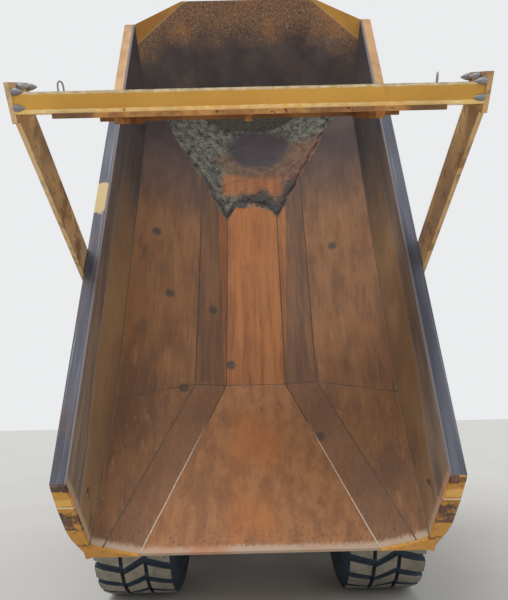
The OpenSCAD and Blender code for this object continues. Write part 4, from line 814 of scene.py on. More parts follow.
def prism(outline, start, end, round_off=0.0):
    """A plate cut to an outline of y and z, from one x to another, its edges rounded off."""
    part = bmesh.new()
    face = part.faces.new([part.verts.new((start, y, z)) for y, z in outline])
    made = bmesh.ops.extrude_face_region(part, geom=[face])["geom"]
    far = [v for v in made if isinstance(v, bmesh.types.BMVert)]
    bmesh.ops.translate(part, vec=(end - start, 0, 0), verts=far)
    bmesh.ops.recalc_face_normals(part, faces=part.faces)
    if round_off:
        bmesh.ops.bevel(part, geom=part.edges, offset=round_off, segments=2, profile=0.5,
                        affect="EDGES", material=-1)
    return part


# %% [markdown]
# Round parts are turned, as on a lathe: half an outline is spun about the X axis. A knob closes on
# that axis, and its poles are merged to one point each. A matrix then points it along any way.

# %% Shapes: turned parts
def turned_part(profile, steps=24, closed=True):
    """A solid of revolution about X from points of x and radius."""
    part = bmesh.new()
    verts = [part.verts.new((x, 0, r)) for x, r in profile]
    pairs = list(zip(verts, verts[1:])) + ([(verts[-1], verts[0])] if closed else [])
    edges = [part.edges.new(p) for p in pairs]
    bmesh.ops.spin(part, geom=verts + edges, cent=(0, 0, 0), axis=(1, 0, 0), angle=2 * math.pi,
                   steps=steps, use_merge=True)
    bmesh.ops.remove_doubles(part, verts=part.verts, dist=0.0001)
    bmesh.ops.recalc_face_normals(part, faces=part.faces)
    return part


POLE = 0.0001


def knob(profile, steps=24):
    """A turned part that closes on its axis: its first and last radius are 0."""
    return turned_part([(x, max(radius, POLE)) for x, radius in profile], steps, False)


def along(start, end):
    """Lays a part that was made along X from one point to another."""
    way = Vector(end) - Vector(start)
    return Matrix.Translation(start) @ way.to_track_quat("X", "Z").to_matrix().to_4x4()


def turned_to(way, at):
    """Lays a part that was made along X so that it points another way."""
    return along(at, Vector(at) + Vector(way))


def round_bar(start, end, radius, steps=8):
    length = (Vector(end) - Vector(start)).length
    part = knob([(0, 0), (0, radius), (length, radius), (length, 0)], steps)
    bmesh.ops.transform(part, matrix=along(start, end), verts=part.verts)
    return part


# %% [markdown]
# Handles, welds, seals and pipes are rods that follow points. A curve with a thickness gives the
# round section and even corners, and it becomes a mesh so that it can be joined to other parts.

# %% Shapes: bent rods
def steps_from(point, *steps):
    """Points reached from one point, for a rod to run through."""
    return [Vector(point) + Vector(step) for step in steps]


def bent_rod(points, radius, sides=3, soft=True, closed=False):
    """A round rod through points: a curve with a thickness, turned into a mesh."""
    curve = bpy.data.curves.new("rod", "CURVE")
    curve.dimensions = "3D"
    curve.bevel_depth = radius
    curve.bevel_resolution = sides
    curve.use_fill_caps = not closed
    curve.resolution_u = 6
    spline = curve.splines.new("BEZIER" if soft else "POLY")
    if soft:
        spline.bezier_points.add(len(points) - 1)
        for knot, point in zip(spline.bezier_points, points):
            knot.co = point
            knot.handle_left_type = knot.handle_right_type = "AUTO"
    else:
        spline.points.add(len(points) - 1)
        for knot, point in zip(spline.points, points):
            knot.co = (*point, 1)
    spline.use_cyclic_u = closed
    obj = bpy.data.objects.new("rod", curve)
    mesh = bpy.data.meshes.new_from_object(obj)
    part = bmesh.new()
    part.from_mesh(mesh)
    bmesh.ops.remove_doubles(part, verts=part.verts, dist=0.00005)
    bmesh.ops.recalc_face_normals(part, faces=part.faces)
    for face in part.faces:
        face.smooth = True
    bpy.data.objects.remove(obj)
    bpy.data.curves.remove(curve)
    bpy.data.meshes.remove(mesh)
    return part


# %% [markdown]
# A bolt's head is a cone with six sides that hardly tapers, on a thin round washer.

# %% Shapes: bolts
def disc(radius, height, sides, taper=1.0):
    """A disc that stands on Z = 0."""
    part = bmesh.new()
    bmesh.ops.create_cone(part, cap_ends=True, segments=sides, radius1=radius, radius2=radius * taper,
                          depth=height)
    bmesh.ops.transform(part, verts=part.verts, matrix=Matrix.Translation((0, 0, height / 2)))
    return part


def hex_bolt(size, height, at):
    """A hexagon head with a washer, standing on X = 0."""
    part = disc(size, height, 6, 0.94)
    put(part, disc(size * 1.25, height * 0.2, 14))
    bmesh.ops.transform(part, verts=part.verts, matrix=at @ Matrix.Rotation(math.pi / 2, 4, "Y"))
    return part


# %% [markdown]
# The tyre is a section spun round the axle, with three rows of blocks. Each block starts as a box,
# is sheared to its slant and bent round the tyre, and its top edges are bevelled last. The middle
# row is steeper and leans the other way, and a wide smooth shoulder is left beside the rows.
# Places across the tread are shares of half its width, and places round it are pitches of a block.

# %% Tyres: one block of the tread
PITCHES = 24
GROOVE = 0.036
BLOCK_SHARE = (0.16, 0.84)
LEAN_TOP, LEAN_FOOT = -0.035, 0.045
CROWN_FROM, CROWN = 0.74, 0.28
DUST_DEPTH = 0.016
BEAD_INSET = 0.031
# Share of half the width, share of the height from bead to groove
TYRE_SECTION = [(-0.80, 0.00), (-0.82, 0.06), (-0.86, 0.14), (-0.87, 0.16), (-0.89, 0.22), (-0.95, 0.34),
                (-0.99, 0.46), (-1.00, 0.50), (-0.985, 0.53), (-0.99, 0.60), (-0.98, 0.68), (-0.985, 0.80),
                (-0.975, 0.90), (-0.945, 0.965), (-0.86, 1.00), (-0.40, 1.00)]
# Outer and inner edge, turn at the outer and at the inner edge
TREAD_ROWS = [(0.985, 0.36, 0.05, -0.26), (0.27, -0.24, -0.36, 0.26), (-0.33, -0.88, 0.17, -0.12)]
WALL_RIBS = ((0.99, 0.44), (0.995, 0.62))


def from_axle(point):
    return math.hypot(point.y, point.z)


def tread_block(row, radius, half):
    outer, inner, turn_outer, turn_inner = row
    groove = radius - GROOVE
    lug = block((inner, BLOCK_SHARE[0], -0.012), (outer, BLOCK_SHARE[1], GROOVE))
    across = [e for e in lug.edges if abs(e.verts[0].co.x - e.verts[1].co.x) > 0.01]
    bmesh.ops.subdivide_edges(lug, edges=across, cuts=2, use_grid_fill=True)
    pitch = 2 * math.pi / PITCHES
    for v in lug.verts:
        share, turn, height = v.co
        slide = (outer - share) / (outer - inner)
        lean = LEAN_TOP if height > 0 else LEAN_FOOT
        turn += turn_outer + (turn_inner - turn_outer) * slide + (lean if turn > 0.5 else -lean)
        reach = groove + height - CROWN * max(0.0, abs(share) - CROWN_FROM) ** 2
        v.co = Vector((-share * half, math.sin(turn * pitch) * reach, math.cos(turn * pitch) * reach))
    bmesh.ops.recalc_face_normals(lug, faces=lug.faces)
    top = [e for e in lug.edges if len(e.link_faces) == 2 and e.calc_face_angle() > 0.5
           and min(from_axle(v.co) for v in e.verts) > groove]
    bmesh.ops.bevel(lug, geom=top, offset=0.006, segments=2, profile=0.5, affect="EDGES", material=-1)
    for face in lug.faces:
        face.material_index = int(from_axle(face.calc_center_median()) > radius - DUST_DEPTH)
    return lug


# %% [markdown]
# The section is spun into the tyre's shell. One more spin copies each row's block round it and
# stops a step short of the first. Two thin moulded ribs run round each sidewall. The finished tyre
# stands for the frame's plainer one and keeps its size.

# %% Tyres: shell, rows and ribs
def tyre_part(radius, width, bead):
    half, groove = width / 2, radius - GROOVE
    section = [(x * half, bead + y * (groove - bead)) for x, y in TYRE_SECTION]
    section += [(-x, r) for x, r in reversed(section)]
    part = turned_part(section, 96)
    for face in part.faces:
        face.smooth = True
    for row in TREAD_ROWS:
        lug = tread_block(row, radius, half)
        bmesh.ops.spin(lug, geom=lug.verts[:] + lug.edges[:] + lug.faces[:], cent=(0, 0, 0), axis=(1, 0, 0),
                       angle=2 * math.pi * (PITCHES - 1) / PITCHES, steps=PITCHES - 1, use_duplicate=True)
        put(part, lug)
    # Thin moulded ribs round the sidewall
    for side in (-1, 1):
        for share, height in WALL_RIBS:
            outside, inside = side * half * share, side * half * (share - 0.03)
            r = bead + height * (groove - bead)
            put(part, turned_part([(inside, r - 0.006), (outside, r - 0.003), (outside, r + 0.003),
                                   (inside, r + 0.006)], 96))
    return part


for name in [n for n in nodes if n.startswith("tyre_")]:
    wheel = name.replace("tyre_", "")
    low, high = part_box(name)
    middle = (low + high) / 2
    rim_low, rim_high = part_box("rim_" + wheel)
    bead = (rim_high.z - rim_low.z) / 2 - BEAD_INSET
    facing = Matrix.Rotation(math.pi, 4, "Y") if middle.x > 0 else Matrix()
    bm = bmesh.new()
    put(bm, tyre_part((high.z - low.z) / 2, high.x - low.x, bead), Matrix.Translation(middle) @ facing)
    piece("tread_" + wheel, bm, "wheel_" + wheel, "tyre", groove_rubber, tread_rubber, stands_for=(name,))

# %% [markdown]
# A wheel carries a ring of nuts on its disc and small bolts on the hub's cover. One nut is made
# and put in place again and again, turned a little further round the axle each time.

# %% Wheel nuts
# Count, ring's radius, height above the disc, size
NUT_RINGS = ((24, 0.235, 0.0, 0.017), (12, 0.150, 0.120, 0.012))
for name in [n for n in nodes if n.startswith("rim_")]:
    wheel = name.replace("rim_", "")
    centre = Vector(joints["spin_" + wheel]["pos_m"])
    facing = Matrix.Identity(4) if centre.x > 0 else Matrix.Rotation(math.pi, 4, "Z")
    bm = bmesh.new()
    for count, radius, height, size in NUT_RINGS:
        for k in range(count):
            turn = Matrix.Rotation(2 * math.pi * k / count, 4, "X")
            put(bm, hex_bolt(size, size * 1.3, Matrix.Translation(centre) @ facing @ turn
                             @ Matrix.Translation((height, 0, radius))))
    piece("wheel_nuts_" + wheel, bm, "wheel_" + wheel, "steel", bolt_steel)

# %% [markdown]
# Plates of the body are joined by welds, which show as thin raised lines along the creases. Each is
# a rod with an uneven run, half sunk in the plate. Their finish is bright where the load has
# rubbed them, towards the tail, and dark further in.

# %% Welds along the body's creases
def weld_finish(name, dark, light, far):
    f = Finish(name, ON_BODY)
    x, along_body, up = f.axes()
    worn = f.between(f.add_up(along_body, f.times(f.noise(4, 5), 1.3)), far + 0.5, far)
    ripple = f.noise(1.0, 2, (120, 120, 120), 0.4)
    colour = f.blend(worn, f.two(ripple, (70, 54, 46), (104, 78, 60)), f.two(ripple, dark, light))
    return f.done(colour, 0.6, 0.25, ripple, 0.002, 0.5)


bright_weld = weld_finish("bright_weld", (176, 158, 138), (222, 208, 190), 0.25)
dark_weld = weld_finish("dark_weld", (84, 72, 64), (122, 106, 94), 0.9)
UNEVEN = 0.0016
random.seed(11)


def seam(points, radius=0.0055, step=0.05):
    """A weld through points of the body's frame."""
    run = []
    for a, b in zip(points, points[1:]):
        a, b = Vector(a), Vector(b)
        count = max(2, round((b - a).length / step))
        run += [a.lerp(b, k / count) + Vector((random.uniform(-1, 1), 0, random.uniform(-1, 1))) * UNEVEN
                for k in range(count)]
    run.append(Vector(points[-1]))
    return bent_rod(run, radius, 1, soft=False)


AT_LIP = [(0.900, -1.143, 0.640), (1.164, -1.097, 0.700), (1.255, -1.074, 0.730)]
KINK = [(x, u, w) for (x, w), u in zip(SECTION[1:], (KINK_U, 0.370, 0.150))]
WALL_TOP_U = 4.444
AT_WALL_U = (FRONT_U, FRONT_U + (KINK[1][2] - FLOOR_W) * LEAN, WALL_TOP_U - (TOP_W - KINK[2][2]) * LEAN)
SHORT_OF_WALL = 0.01
bm = bmesh.new()
for side in (-1, 1):
    for number, (lip, kink, wall_at) in enumerate(zip(AT_LIP, KINK, AT_WALL_U)):
        crease = [lip, kink, (kink[0], wall_at - SHORT_OF_WALL, kink[2])]
        put(bm, paint_all(seam([(side * x, u, w) for x, u, w in crease], 0.0055 if number else 0.0060),
                          min(number, 1)))
    # Across the chamfer at the kink
    put(bm, paint_all(seam([(side * x, u, w) for x, u, w in KINK], 0.0045), 1))
put(bm, paint_all(seam([(side * KINK[0][0], *KINK[0][1:]) for side in (-1, 1)], 0.0045), 1))
piece("body_welds", bm, "dump_body", "rust", bright_weld, dark_weld, at=ON_BODY)

# %% [markdown]
# Each side has a round drain hole near the tail, which a thin plate closes from the outside. Its
# outline is spun round an axis, which keeps the softened edge the same all the way round.

# %% Drain plates
bm = bmesh.new()
for side in (-1, 1):
    put(bm, knob([(0, 0), (0, 0.046), (0.003, 0.050), (0.007, 0.050), (0.010, 0.046), (0.010, 0)], 28),
        turned_to((side, 0, 0), (side * 1.2965, -0.728, 0.848)))
piece("drain_plates", bm, "dump_body", "painted_yellow", tail_paint, at=ON_BODY)

# %% [markdown]
# Wet earth sticks in the front end of the body and dries as a thick crust with a hollow in it. A
# grid is laid over that end and each of its points is lifted by the crust's thickness there, which
# mixes large and small lumps. What would lie below the plate is cut off, and an extrusion closes
# the underside.

# %% Dried earth: its thickness
START_U, REACH_X = 2.44, 1.13
THICK, SUNK = 0.030, 0.006


def step_up(value, low, high):
    share = min(max((value - low) / (high - low), 0.0), 1.0)
    return share * share * (3 - 2 * share)


def crust_height(x, u):
    """Thickness of the earth, below 0 outside its edge."""
    spot = Vector((x, u, 0.0))
    large, small = noise.fractal(spot * 6, 0.8, 2.0, 4), noise.fractal(spot * 24, 0.7, 2.0, 4)
    inside = (u - SHORE_SLOPE * max(abs(x) - SHORE_X, 0.0) - BAY_DEPTH * (1 - step_up(abs(x), *BAY_X))
              - SHORE_U - 0.02 + 0.05 * large + 0.02 * small)
    hollow = math.hypot((x - HOLLOW[0]) / HOLLOW_REACH[0], (u - HOLLOW[1]) / HOLLOW_REACH[1]) + 0.12 * large
    bowl = 1 - step_up(hollow, 0.35, 1.0)
    rim = step_up(hollow, 0.7, 1.1) * (1 - step_up(hollow, 1.1, 1.5))
    body = THICK + 0.012 * large + 0.007 * small + 0.022 * rim - 0.024 * bowl
    return step_up(inside, 0.0, 0.09) * (body + SUNK) - SUNK


print("thickness in the middle", round(crust_height(0.0, 3.0), 3), "m")

# %% [markdown]
# The crust has to end on the front wall, which leans and has slanted corners. A ray sent along the
# body finds the wall at each point, so the earth meets the real plate and never comes out behind it.

# %% Dried earth: its surface
FOOT, OVERLAP = 0.004, 0.003
forward = ON_BODY.to_3x3() @ Vector((0, 1, 0))


def plate_w(x):
    """Height of the body's plates at x, in the body's frame."""
    for (x0, w0), (x1, w1) in zip(SECTION, SECTION[1:]):
        if abs(x) <= x1:
            return w0 + (w1 - w0) * (abs(x) - x0) / (x1 - x0)


def wall_u(x, w):
    """Where the front wall stands, found by a ray along the body."""
    start = ON_BODY @ Vector((x, START_U, w))
    point = nodes["body_front_wall"].ray_cast(start, forward)[1]
    return START_U + (point - start).length


bm = bmesh.new()
bmesh.ops.create_grid(bm, x_segments=170, y_segments=120, size=1.0)
depth = {}
for vert in bm.verts:
    x, share = vert.co.x * REACH_X, (vert.co.y + 1) / 2
    base = plate_w(x)
    foot = wall_u(x, base + FOOT)
    end = wall_u(x, base + max(crust_height(x, foot), FOOT)) + OVERLAP
    u = START_U + share * (end - START_U)
    depth[vert] = crust_height(x, u)
    vert.co = x, u, base + depth[vert]
below = [face for face in bm.faces if max(depth[vert] for vert in face.verts) < -SUNK / 2]
bmesh.ops.delete(bm, geom=below, context="FACES")
under = bmesh.ops.extrude_face_region(bm, geom=bm.faces[:])["geom"]
for vert in (item for item in under if isinstance(item, bmesh.types.BMVert)):
    base = plate_w(vert.co.x)
    vert.co.y, vert.co.z = min(vert.co.y, wall_u(vert.co.x, base + FOOT) + OVERLAP), base - 0.007
bmesh.ops.recalc_face_normals(bm, faces=bm.faces)
for face in bm.faces:
    face.smooth = True
print("earth", len(bm.faces), "faces,", sum(edge.is_boundary for edge in bm.edges), "open edges")
piece("dried_earth", bm, "dump_body", "rust", crust_earth, at=ON_BODY)

# %% [markdown]
# Each end of the gate's beam is bolted to a plate. On the inner side the bolts end in four blunt
# steel points. A thin steel loop stands on the beam near each end, on a small pad.

# %% Studs and loops of the gate
STUD = [(0, 0), (0, 0.019), (0.014, 0.022), (0.034, 0.020), (0.052, 0.013), (0.066, 0.005), (0.071, 0)]
bm = bmesh.new()
for side in (-1, 1):
    for s, n in ((-0.055, 0.215), (0.085, 0.222), (-0.150, 0.182), (-0.148, 0.090)):
        put(bm, knob(STUD, 14), turned_to((-side, 0, 0), (side * 1.4255, s, n)))
piece("gate_studs", bm, "gate", "steel", bolt_steel, at=ON_GATE)

bm = bmesh.new()
lean = Vector((0.009, 0.020, 0))
for side in (-1, 1):
    foot = Vector((side * 1.182, 0.010, 0.176))
    loop = [foot + lean * share + Vector((0, 0, height)) for share, height in (
        (-1, 0), (-1.1, 0.040), (-0.6, 0.066), (0.6, 0.066), (1.1, 0.040), (1, 0))]
    put(bm, bent_rod(loop, 0.0055))
    put(bm, block(*steps_from(foot, (-0.026, -0.034, 0.0035), (0.026, 0.034, 0.011)), 0.002))
piece("gate_loops", bm, "gate", "steel", bolt_steel, at=ON_GATE)

# %% [markdown]
# The operator's seat is padded, so its two cushions are blown up like real ones: the block is
# remeshed finely, and the cloth solver fills it with air for twenty steps. A limit keeps the
# swelling small. What is sewn on comes after that, because it has to lie on the swollen shape.

# %% Seat
VOXEL, SWELL, PRESSURE, CLOTH_STEPS = 0.012, 0.016, 4, 20
cab_low, cab_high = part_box("cab_shell")
back, front, level = cab_low.y, cab_high.y, cab_low.z + 0.080


def from_back(*points):
    """Points of y and z, or of x, y and z, measured from the cab's back wall and floor."""
    return [(*point[:-2], back + point[-2], level + point[-1]) for point in points]


def bake(obj):
    """Makes the result of a piece's modifiers its own mesh."""
    scene = bpy.context.evaluated_depsgraph_get()
    mesh = bpy.data.meshes.new_from_object(obj.evaluated_get(scene))
    obj.modifiers.clear()
    old, obj.data = obj.data, mesh
    bpy.data.meshes.remove(old)


def plump(name, bm):
    """A cushion: its block swells as cloth under pressure, up to a limit."""
    obj = piece(name, bm, "front", "cloth", seat_cloth, stands_for=("cab_fittings",))
    remesh = obj.modifiers.new("remesh", "REMESH")
    remesh.mode = "VOXEL"
    remesh.voxel_size = VOXEL
    bake(obj)
    before = [v.co.copy() for v in obj.data.vertices]
    cloth = obj.modifiers.new("cloth", "CLOTH")
    cloth.settings.use_pressure = True
    cloth.settings.uniform_pressure_force = PRESSURE
    cloth.settings.effector_weights.gravity = 0
    for step in range(1, CLOTH_STEPS + 1):
        bpy.context.scene.frame_set(step)
    bake(obj)
    for v, start in zip(obj.data.vertices, before):
        move = v.co - start
        v.co = start + move * min(1, SWELL / max(move.length, 1e-6))
    bpy.context.scene.frame_set(1)
    for face in obj.data.polygons:
        face.use_smooth = True
    rounder = obj.modifiers.new("rounder", "SUBSURF")
    rounder.levels = rounder.render_levels = 1
    print(name, "swollen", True, len(obj.data.polygons), "faces")
    return obj


cushion = plump("seat_cushion", block(*from_back((-0.245, 0.355, 0.312), (0.245, 0.845, 0.415)), 0.030, 3))
backrest = plump("seat_back", prism(from_back((0.355, 0.445), (0.455, 0.445), (0.352, 1.105), (0.272, 1.105)),
                                    -0.235, 0.235, 0.026))

# %% [markdown]
# Piping is sewn round the cushions. Points of a frame round each pad are pulled onto its swollen
# skin, and a thin rod runs through them. Under the cushion stands a bellows, a stack of blocks of
# two sizes, between the seat's pan and its base.

# %% Piping and seat base
PIPING, POINTS_A_SIDE = 0.0045, 8


def piping(name, cushions):
    """A thin cord sewn round each cushion: points pulled onto its skin, then joined by a rod."""
    bm = bmesh.new()
    for pad, points in cushions:
        on_skin = []
        for a, b in zip(points, points[1:] + points[:1]):
            for k in range(POINTS_A_SIDE):
                point = Vector(a).lerp(Vector(b), k / POINTS_A_SIDE)
                on_skin.append(pad.closest_point_on_mesh(point)[1])
        put(bm, bent_rod(on_skin, PIPING, 2, soft=False, closed=True))
    piece(name, bm, "front", "cloth", trim, stands_for=("cab_fittings",))


rims = [(cushion, from_back((-0.25, 0.35, z), (0.25, 0.35, z), (0.25, 0.85, z), (-0.25, 0.85, z)))
        for z in (0.325, 0.402)]
rims.append((backrest, from_back((-0.24, 0.46, 0.45), (0.24, 0.46, 0.45), (0.24, 0.36, 1.11),
                                 (-0.24, 0.36, 1.11))))
piping("seat_piping", rims)

bm = bmesh.new()
put(bm, block(*from_back((-0.190, 0.420, 0), (0.190, 0.800, 0.030)), 0.008))
for k in range(5):
    inset, lift = 0.018 * (k % 2), 0.044 * k
    put(bm, block(*from_back((-0.170 + inset, 0.440 + inset, 0.028 + lift),
                             (0.170 - inset, 0.780 - inset, 0.074 + lift)), 0.012, 3))
put(bm, block(*from_back((-0.240, 0.350, 0.246), (0.240, 0.850, 0.304)), 0.014, 3))
for x in (-0.215, 0.215):
    put(bm, bent_rod(from_back((x, 0.36, 0.40), (x, 0.30, 0.60), (x, 0.262, 0.90)), 0.014))
piece("seat_base", bm, "front", "black", trim, stands_for=("cab_fittings",))

# %% [markdown]
# In front of the operator is the dashboard, a block cut to its side view and pulled across the cab.
# Its three dials are a ring and a disc each, both spun, with marks and a needle. Nothing on them is
# lettered: they carry plain marks.

# %% Dashboard and dials
def from_front(*points):
    """Points measured from the cab's front wall and floor; those behind the wall have y below 0."""
    return [(*point[:-2], front + point[-2], level + point[-1]) for point in points]


bm = bmesh.new()
put(bm, prism(from_front((-0.360, 0), (-0.090, 0), (-0.090, 0.560), (-0.330, 0.620)), -0.680, 0.680, 0.022))
put(bm, prism(from_front((-0.352, 0.500), (-0.180, 0.560), (-0.200, 0.628), (-0.325, 0.640)),
              -0.260, 0.260, 0.014))
piece("dashboard", bm, "front", "black", trim, stands_for=("cab_fittings",))

bm = bmesh.new()
for x, size in ((-0.150, 0.042), (0.0, 0.052), (0.150, 0.042)):
    dial = turned_to((0, -1, 0.05), from_front((x, -0.3435, 0.550))[0])
    put(bm, paint_all(turned_part([(0, size), (0, size + 0.008), (0.012, size + 0.008), (0.014, size + 0.004),
                                   (0.012, size)], 28), 1), dial)
    put(bm, knob([(0, 0), (0, size), (0.006, size), (0.006, 0)], 28), dial)
    for k in range(9):
        put(bm, paint_all(block((0.0055, -0.0012, size * 0.72), (0.0072, 0.0012, size * 0.92)), 2),
            dial @ Matrix.Rotation(math.radians(-120 + 30 * k), 4, "X"))
    put(bm, paint_all(block((0.0070, -0.0010, -0.004), (0.0085, 0.0010, size * 0.66)), 3),
        dial @ Matrix.Rotation(math.radians(-50), 4, "X"))
piece("dials", bm, "front", "black", dial_face, bolt_steel, trim, red_lens, stands_for=("cab_fittings",))

# %% [markdown]
# The steering wheel's rim is a rod bent to a circle, and its spokes are thin rods. It is made flat
# round its own middle and then tilted as one. The column runs up to it from the dashboard, and a
# stalk stands out to the right, where a console carries one lever. Four folds of a rubber boot,
# each smaller than the one below, close the lever's foot.

# %% Steering wheel and console
WHEEL_RADIUS = 0.210
BOOT_FOLD = ((0, 0), (0, 0.050), (0.006, 0.052), (0.012, 0.046), (0.012, 0))
wheel_middle = Vector(from_front((0, -0.500, 0.720))[0])
foot = from_front((0, -0.345, 0.480))[0]
tilt = Matrix.Translation(wheel_middle) @ Matrix.Rotation(math.radians(33), 4, "X")


def on_wheel(turn, radius, height=0.0):
    """A point of the wheel by its angle in radians, its radius and its height."""
    return Vector((radius * math.cos(turn), radius * math.sin(turn), height))


bm = bmesh.new()
circle = [on_wheel(k * math.pi / 12, WHEEL_RADIUS) for k in range(24)]
put(bm, bent_rod(circle, 0.0165, 3, closed=True), tilt)
for turn in map(math.radians, (90, 210, 330)):
    spoke = [on_wheel(turn, 0.030, -0.012), on_wheel(turn, 0.110, -0.018), on_wheel(turn, 0.205)]
    put(bm, bent_rod(spoke, 0.0105), tilt)
put(bm, knob([(-0.045, 0), (-0.045, 0.030), (-0.012, 0.046), (0.006, 0.044), (0.014, 0.034), (0.017, 0)]),
    tilt @ Matrix.Rotation(-math.pi / 2, 4, "Y"))
put(bm, knob([(0, 0), (0, 0.060), (0.03, 0.052), (0.04, 0.045), (0.06, 0.045), (0.07, 0.036), (0.09, 0.034),
              (0.26, 0.030), (0.26, 0)]), along(foot, wheel_middle - Vector((0, 0.012, -0.02))))
put(bm, bent_rod(steps_from(foot, (0.02, -0.05, 0.08), (0.10, -0.06, 0.10), (0.17, -0.07, 0.11)), 0.006))
piece("steering_wheel", bm, "front", "black", trim, stands_for=("cab_fittings",))

bm = bmesh.new()
put(bm, block(*from_back((0.330, 0.330, 0), (0.620, 0.900, 0.385)), 0.022, 3))
put(bm, block(*from_back((0.355, 0.360, 0.383), (0.595, 0.560, 0.400)), 0.006))
lever = from_back((0.475, 0.740, 0.384))[0]
for k in range(4):
    fold = knob([(x, r - 0.009 * k if r else 0) for x, r in BOOT_FOLD], 20)
    put(bm, fold, turned_to((0, 0, 1), steps_from(lever, (0, 0, 0.010 * k))[0]))
put(bm, bent_rod(steps_from(lever, (0, 0, 0), (0, 0.004, 0.10), (0, 0.012, 0.14)), 0.008))
put(bm, knob([(0, 0), (0.002, 0.012), (0.02, 0.020), (0.06, 0.022), (0.085, 0.016), (0.092, 0)], 18),
    turned_to((0, 0.08, 1), steps_from(lever, (0, 0.012, 0.13))[0]))
for k in range(6):
    switch = from_back((0.400 + 0.030 * (k % 3), 0.620 + 0.032 * (k // 3), 0.384))[0]
    put(bm, block(*steps_from(switch, (-0.011, -0.011, 0), (0.011, 0.011, 0.008)), 0.002))
piece("side_console", bm, "front", "black", trim, stands_for=("cab_fittings",))

# %% [markdown]
# A rubber strip holds each pane. Each strip is a rod along the pane's edge, half in the wall. Two
# wipers lie on the windscreen, and a bar handle stands off the door.

# %% Window seals, wipers and the door's handle
SILL, TOP = 2.300, 3.110
SCREEN_LEAN = 0.13


def screen_y(z):
    return front - max(0.0, z - SILL) * SCREEN_LEAN


def strip(points, radius=0.009):
    return bent_rod(points, radius, 2, soft=False, closed=True)


def frame_of(corner, across, low, high):
    """Four corners of an upright pane: from one corner's x and y, over a way, between two heights."""
    other = (corner[0] + across[0], corner[1] + across[1])
    return [(*corner, low), (*other, low), (*other, high), (*corner, high)]


bm = bmesh.new()
low_z, high_z = SILL + 0.020, cab_high.z - 0.230
screen = ((-0.650, low_z), (0.650, low_z), (0.650, high_z), (-0.650, high_z))
put(bm, strip([(x, screen_y(z), z) for x, z in screen]))
put(bm, strip(frame_of((-0.570, back), (1.140, 0), SILL, TOP)))
put(bm, strip(frame_of((0.800, back + 0.200), (0, front - back - 0.450), SILL, TOP)))
put(bm, strip(frame_of((-0.800, back + 0.130), (0, 0.350), SILL, TOP)))
piece("window_seals", bm, "front", "black", seal_rubber)

bm = bmesh.new()
door_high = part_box("door")[1].z
put(bm, strip([(-0.800, back + 0.680, SILL), (-0.800, front - 0.190, SILL),
               (-0.800, screen_y(door_high) - 0.190, TOP), (-0.800, back + 0.680, TOP)]))
piece("door_seal", bm, "cab_door", "black", seal_rubber)

bm = bmesh.new()
bar = ((-0.802, 2.06), (-0.824, 2.07), (-0.826, 2.13), (-0.824, 2.19), (-0.802, 2.20))
put(bm, bent_rod([(x, front - 0.30, z) for x, z in bar], 0.008))
put(bm, knob([(0, 0), (0, 0.022), (0.006, 0.020), (0.008, 0)], 20),
    turned_to((-1, 0, 0), (-0.800, front - 0.36, 2.13)))
piece("door_handle", bm, "cab_door", "black", black_paint)

bm = bmesh.new()
for x in (-0.36, 0.22):
    spindle = Vector((x, screen_y(2.345) + 0.014, 2.345))
    blade = Vector((x + 0.16, screen_y(2.88) + 0.022, 2.88))
    elbow = spindle.lerp(blade, 0.5) + Vector((0, 0.006, 0))
    put(bm, knob([(-0.012, 0), (-0.012, 0.020), (0.012, 0.016), (0.014, 0)], 16),
        turned_to((0, 1, SCREEN_LEAN), spindle))
    put(bm, bent_rod([spindle + Vector((0, 0.008, 0)), elbow, blade], 0.006))
    put(bm, round_bar(*steps_from(blade, (-0.03, SCREEN_LEAN * 0.26 - 0.008, -0.26),
                                  (0.01, -SCREEN_LEAN * 0.20 - 0.008, 0.20)), 0.007))
piece("wipers", bm, "front", "black", seal_rubber)

# %% [markdown]
# The hood breathes through louvres in its sides. One louvre is a thin wedge, and a row of copies
# makes the vent. Rubber latches hold the hood down, and two long beads stiffen its top.

# %% Hood louvres, latches and beads
LOUVRES, LOUVRE_STEP, ROW_STEP = 9, 0.085, 0.190
HOOD_BACK, HOOD_TOP, HOOD_FALL = 3.917, 2.478, 0.331
bm = bmesh.new()
for side in (-1, 1):
    for row in range(2):
        for k in range(LOUVRES):
            y, z = 4.33 + LOUVRE_STEP * k, 1.450 + ROW_STEP * row
            wedge = block((0.7590, y, z), (0.7720, y + 0.050, z + 0.160), 0.003)
            for v in wedge.verts:
                if v.co.y < y + 0.02:
                    v.co.x = min(v.co.x, 0.7605)
            put(bm, wedge, MIRROR if side < 0 else Matrix())
piece("hood_louvres", bm, "engine_hood", "painted_yellow", cab_paint)

bm = bmesh.new()
for x in (-0.300, 0.300):
    bead = [(x, y, HOOD_TOP - (y - HOOD_BACK) * HOOD_FALL) for y in (4.02, 5.36)]
    put(bm, bent_rod(bead, 0.009, 2, soft=False))
for side in (-1, 1):
    x = side * 0.766
    for y in (4.06, 5.28):
        put(bm, block((x - 0.006, y - 0.018, 1.355), (x + 0.006, y + 0.018, 1.440), 0.004))
        put(bm, knob([(-0.004, 0), (-0.004, 0.014), (0.006, 0.014), (0.008, 0)], 16),
            turned_to((side, 0, 0), (side * 0.764, y, 1.425)))
piece("hood_latches", bm, "engine_hood", "black", black_paint)

bm = bmesh.new()
put(bm, strip(frame_of((-0.520, 5.538), (1.040, 0), 1.420, 1.860), 0.010))
piece("grille_frame", bm, "engine_hood", "black", black_paint)

# %% [markdown]
# A head lamp is a domed lens in a chromed ring. A rear lamp's lens has a raised rim and two bars
# that part its fields. The mirrors get their glass, which faces the operator.

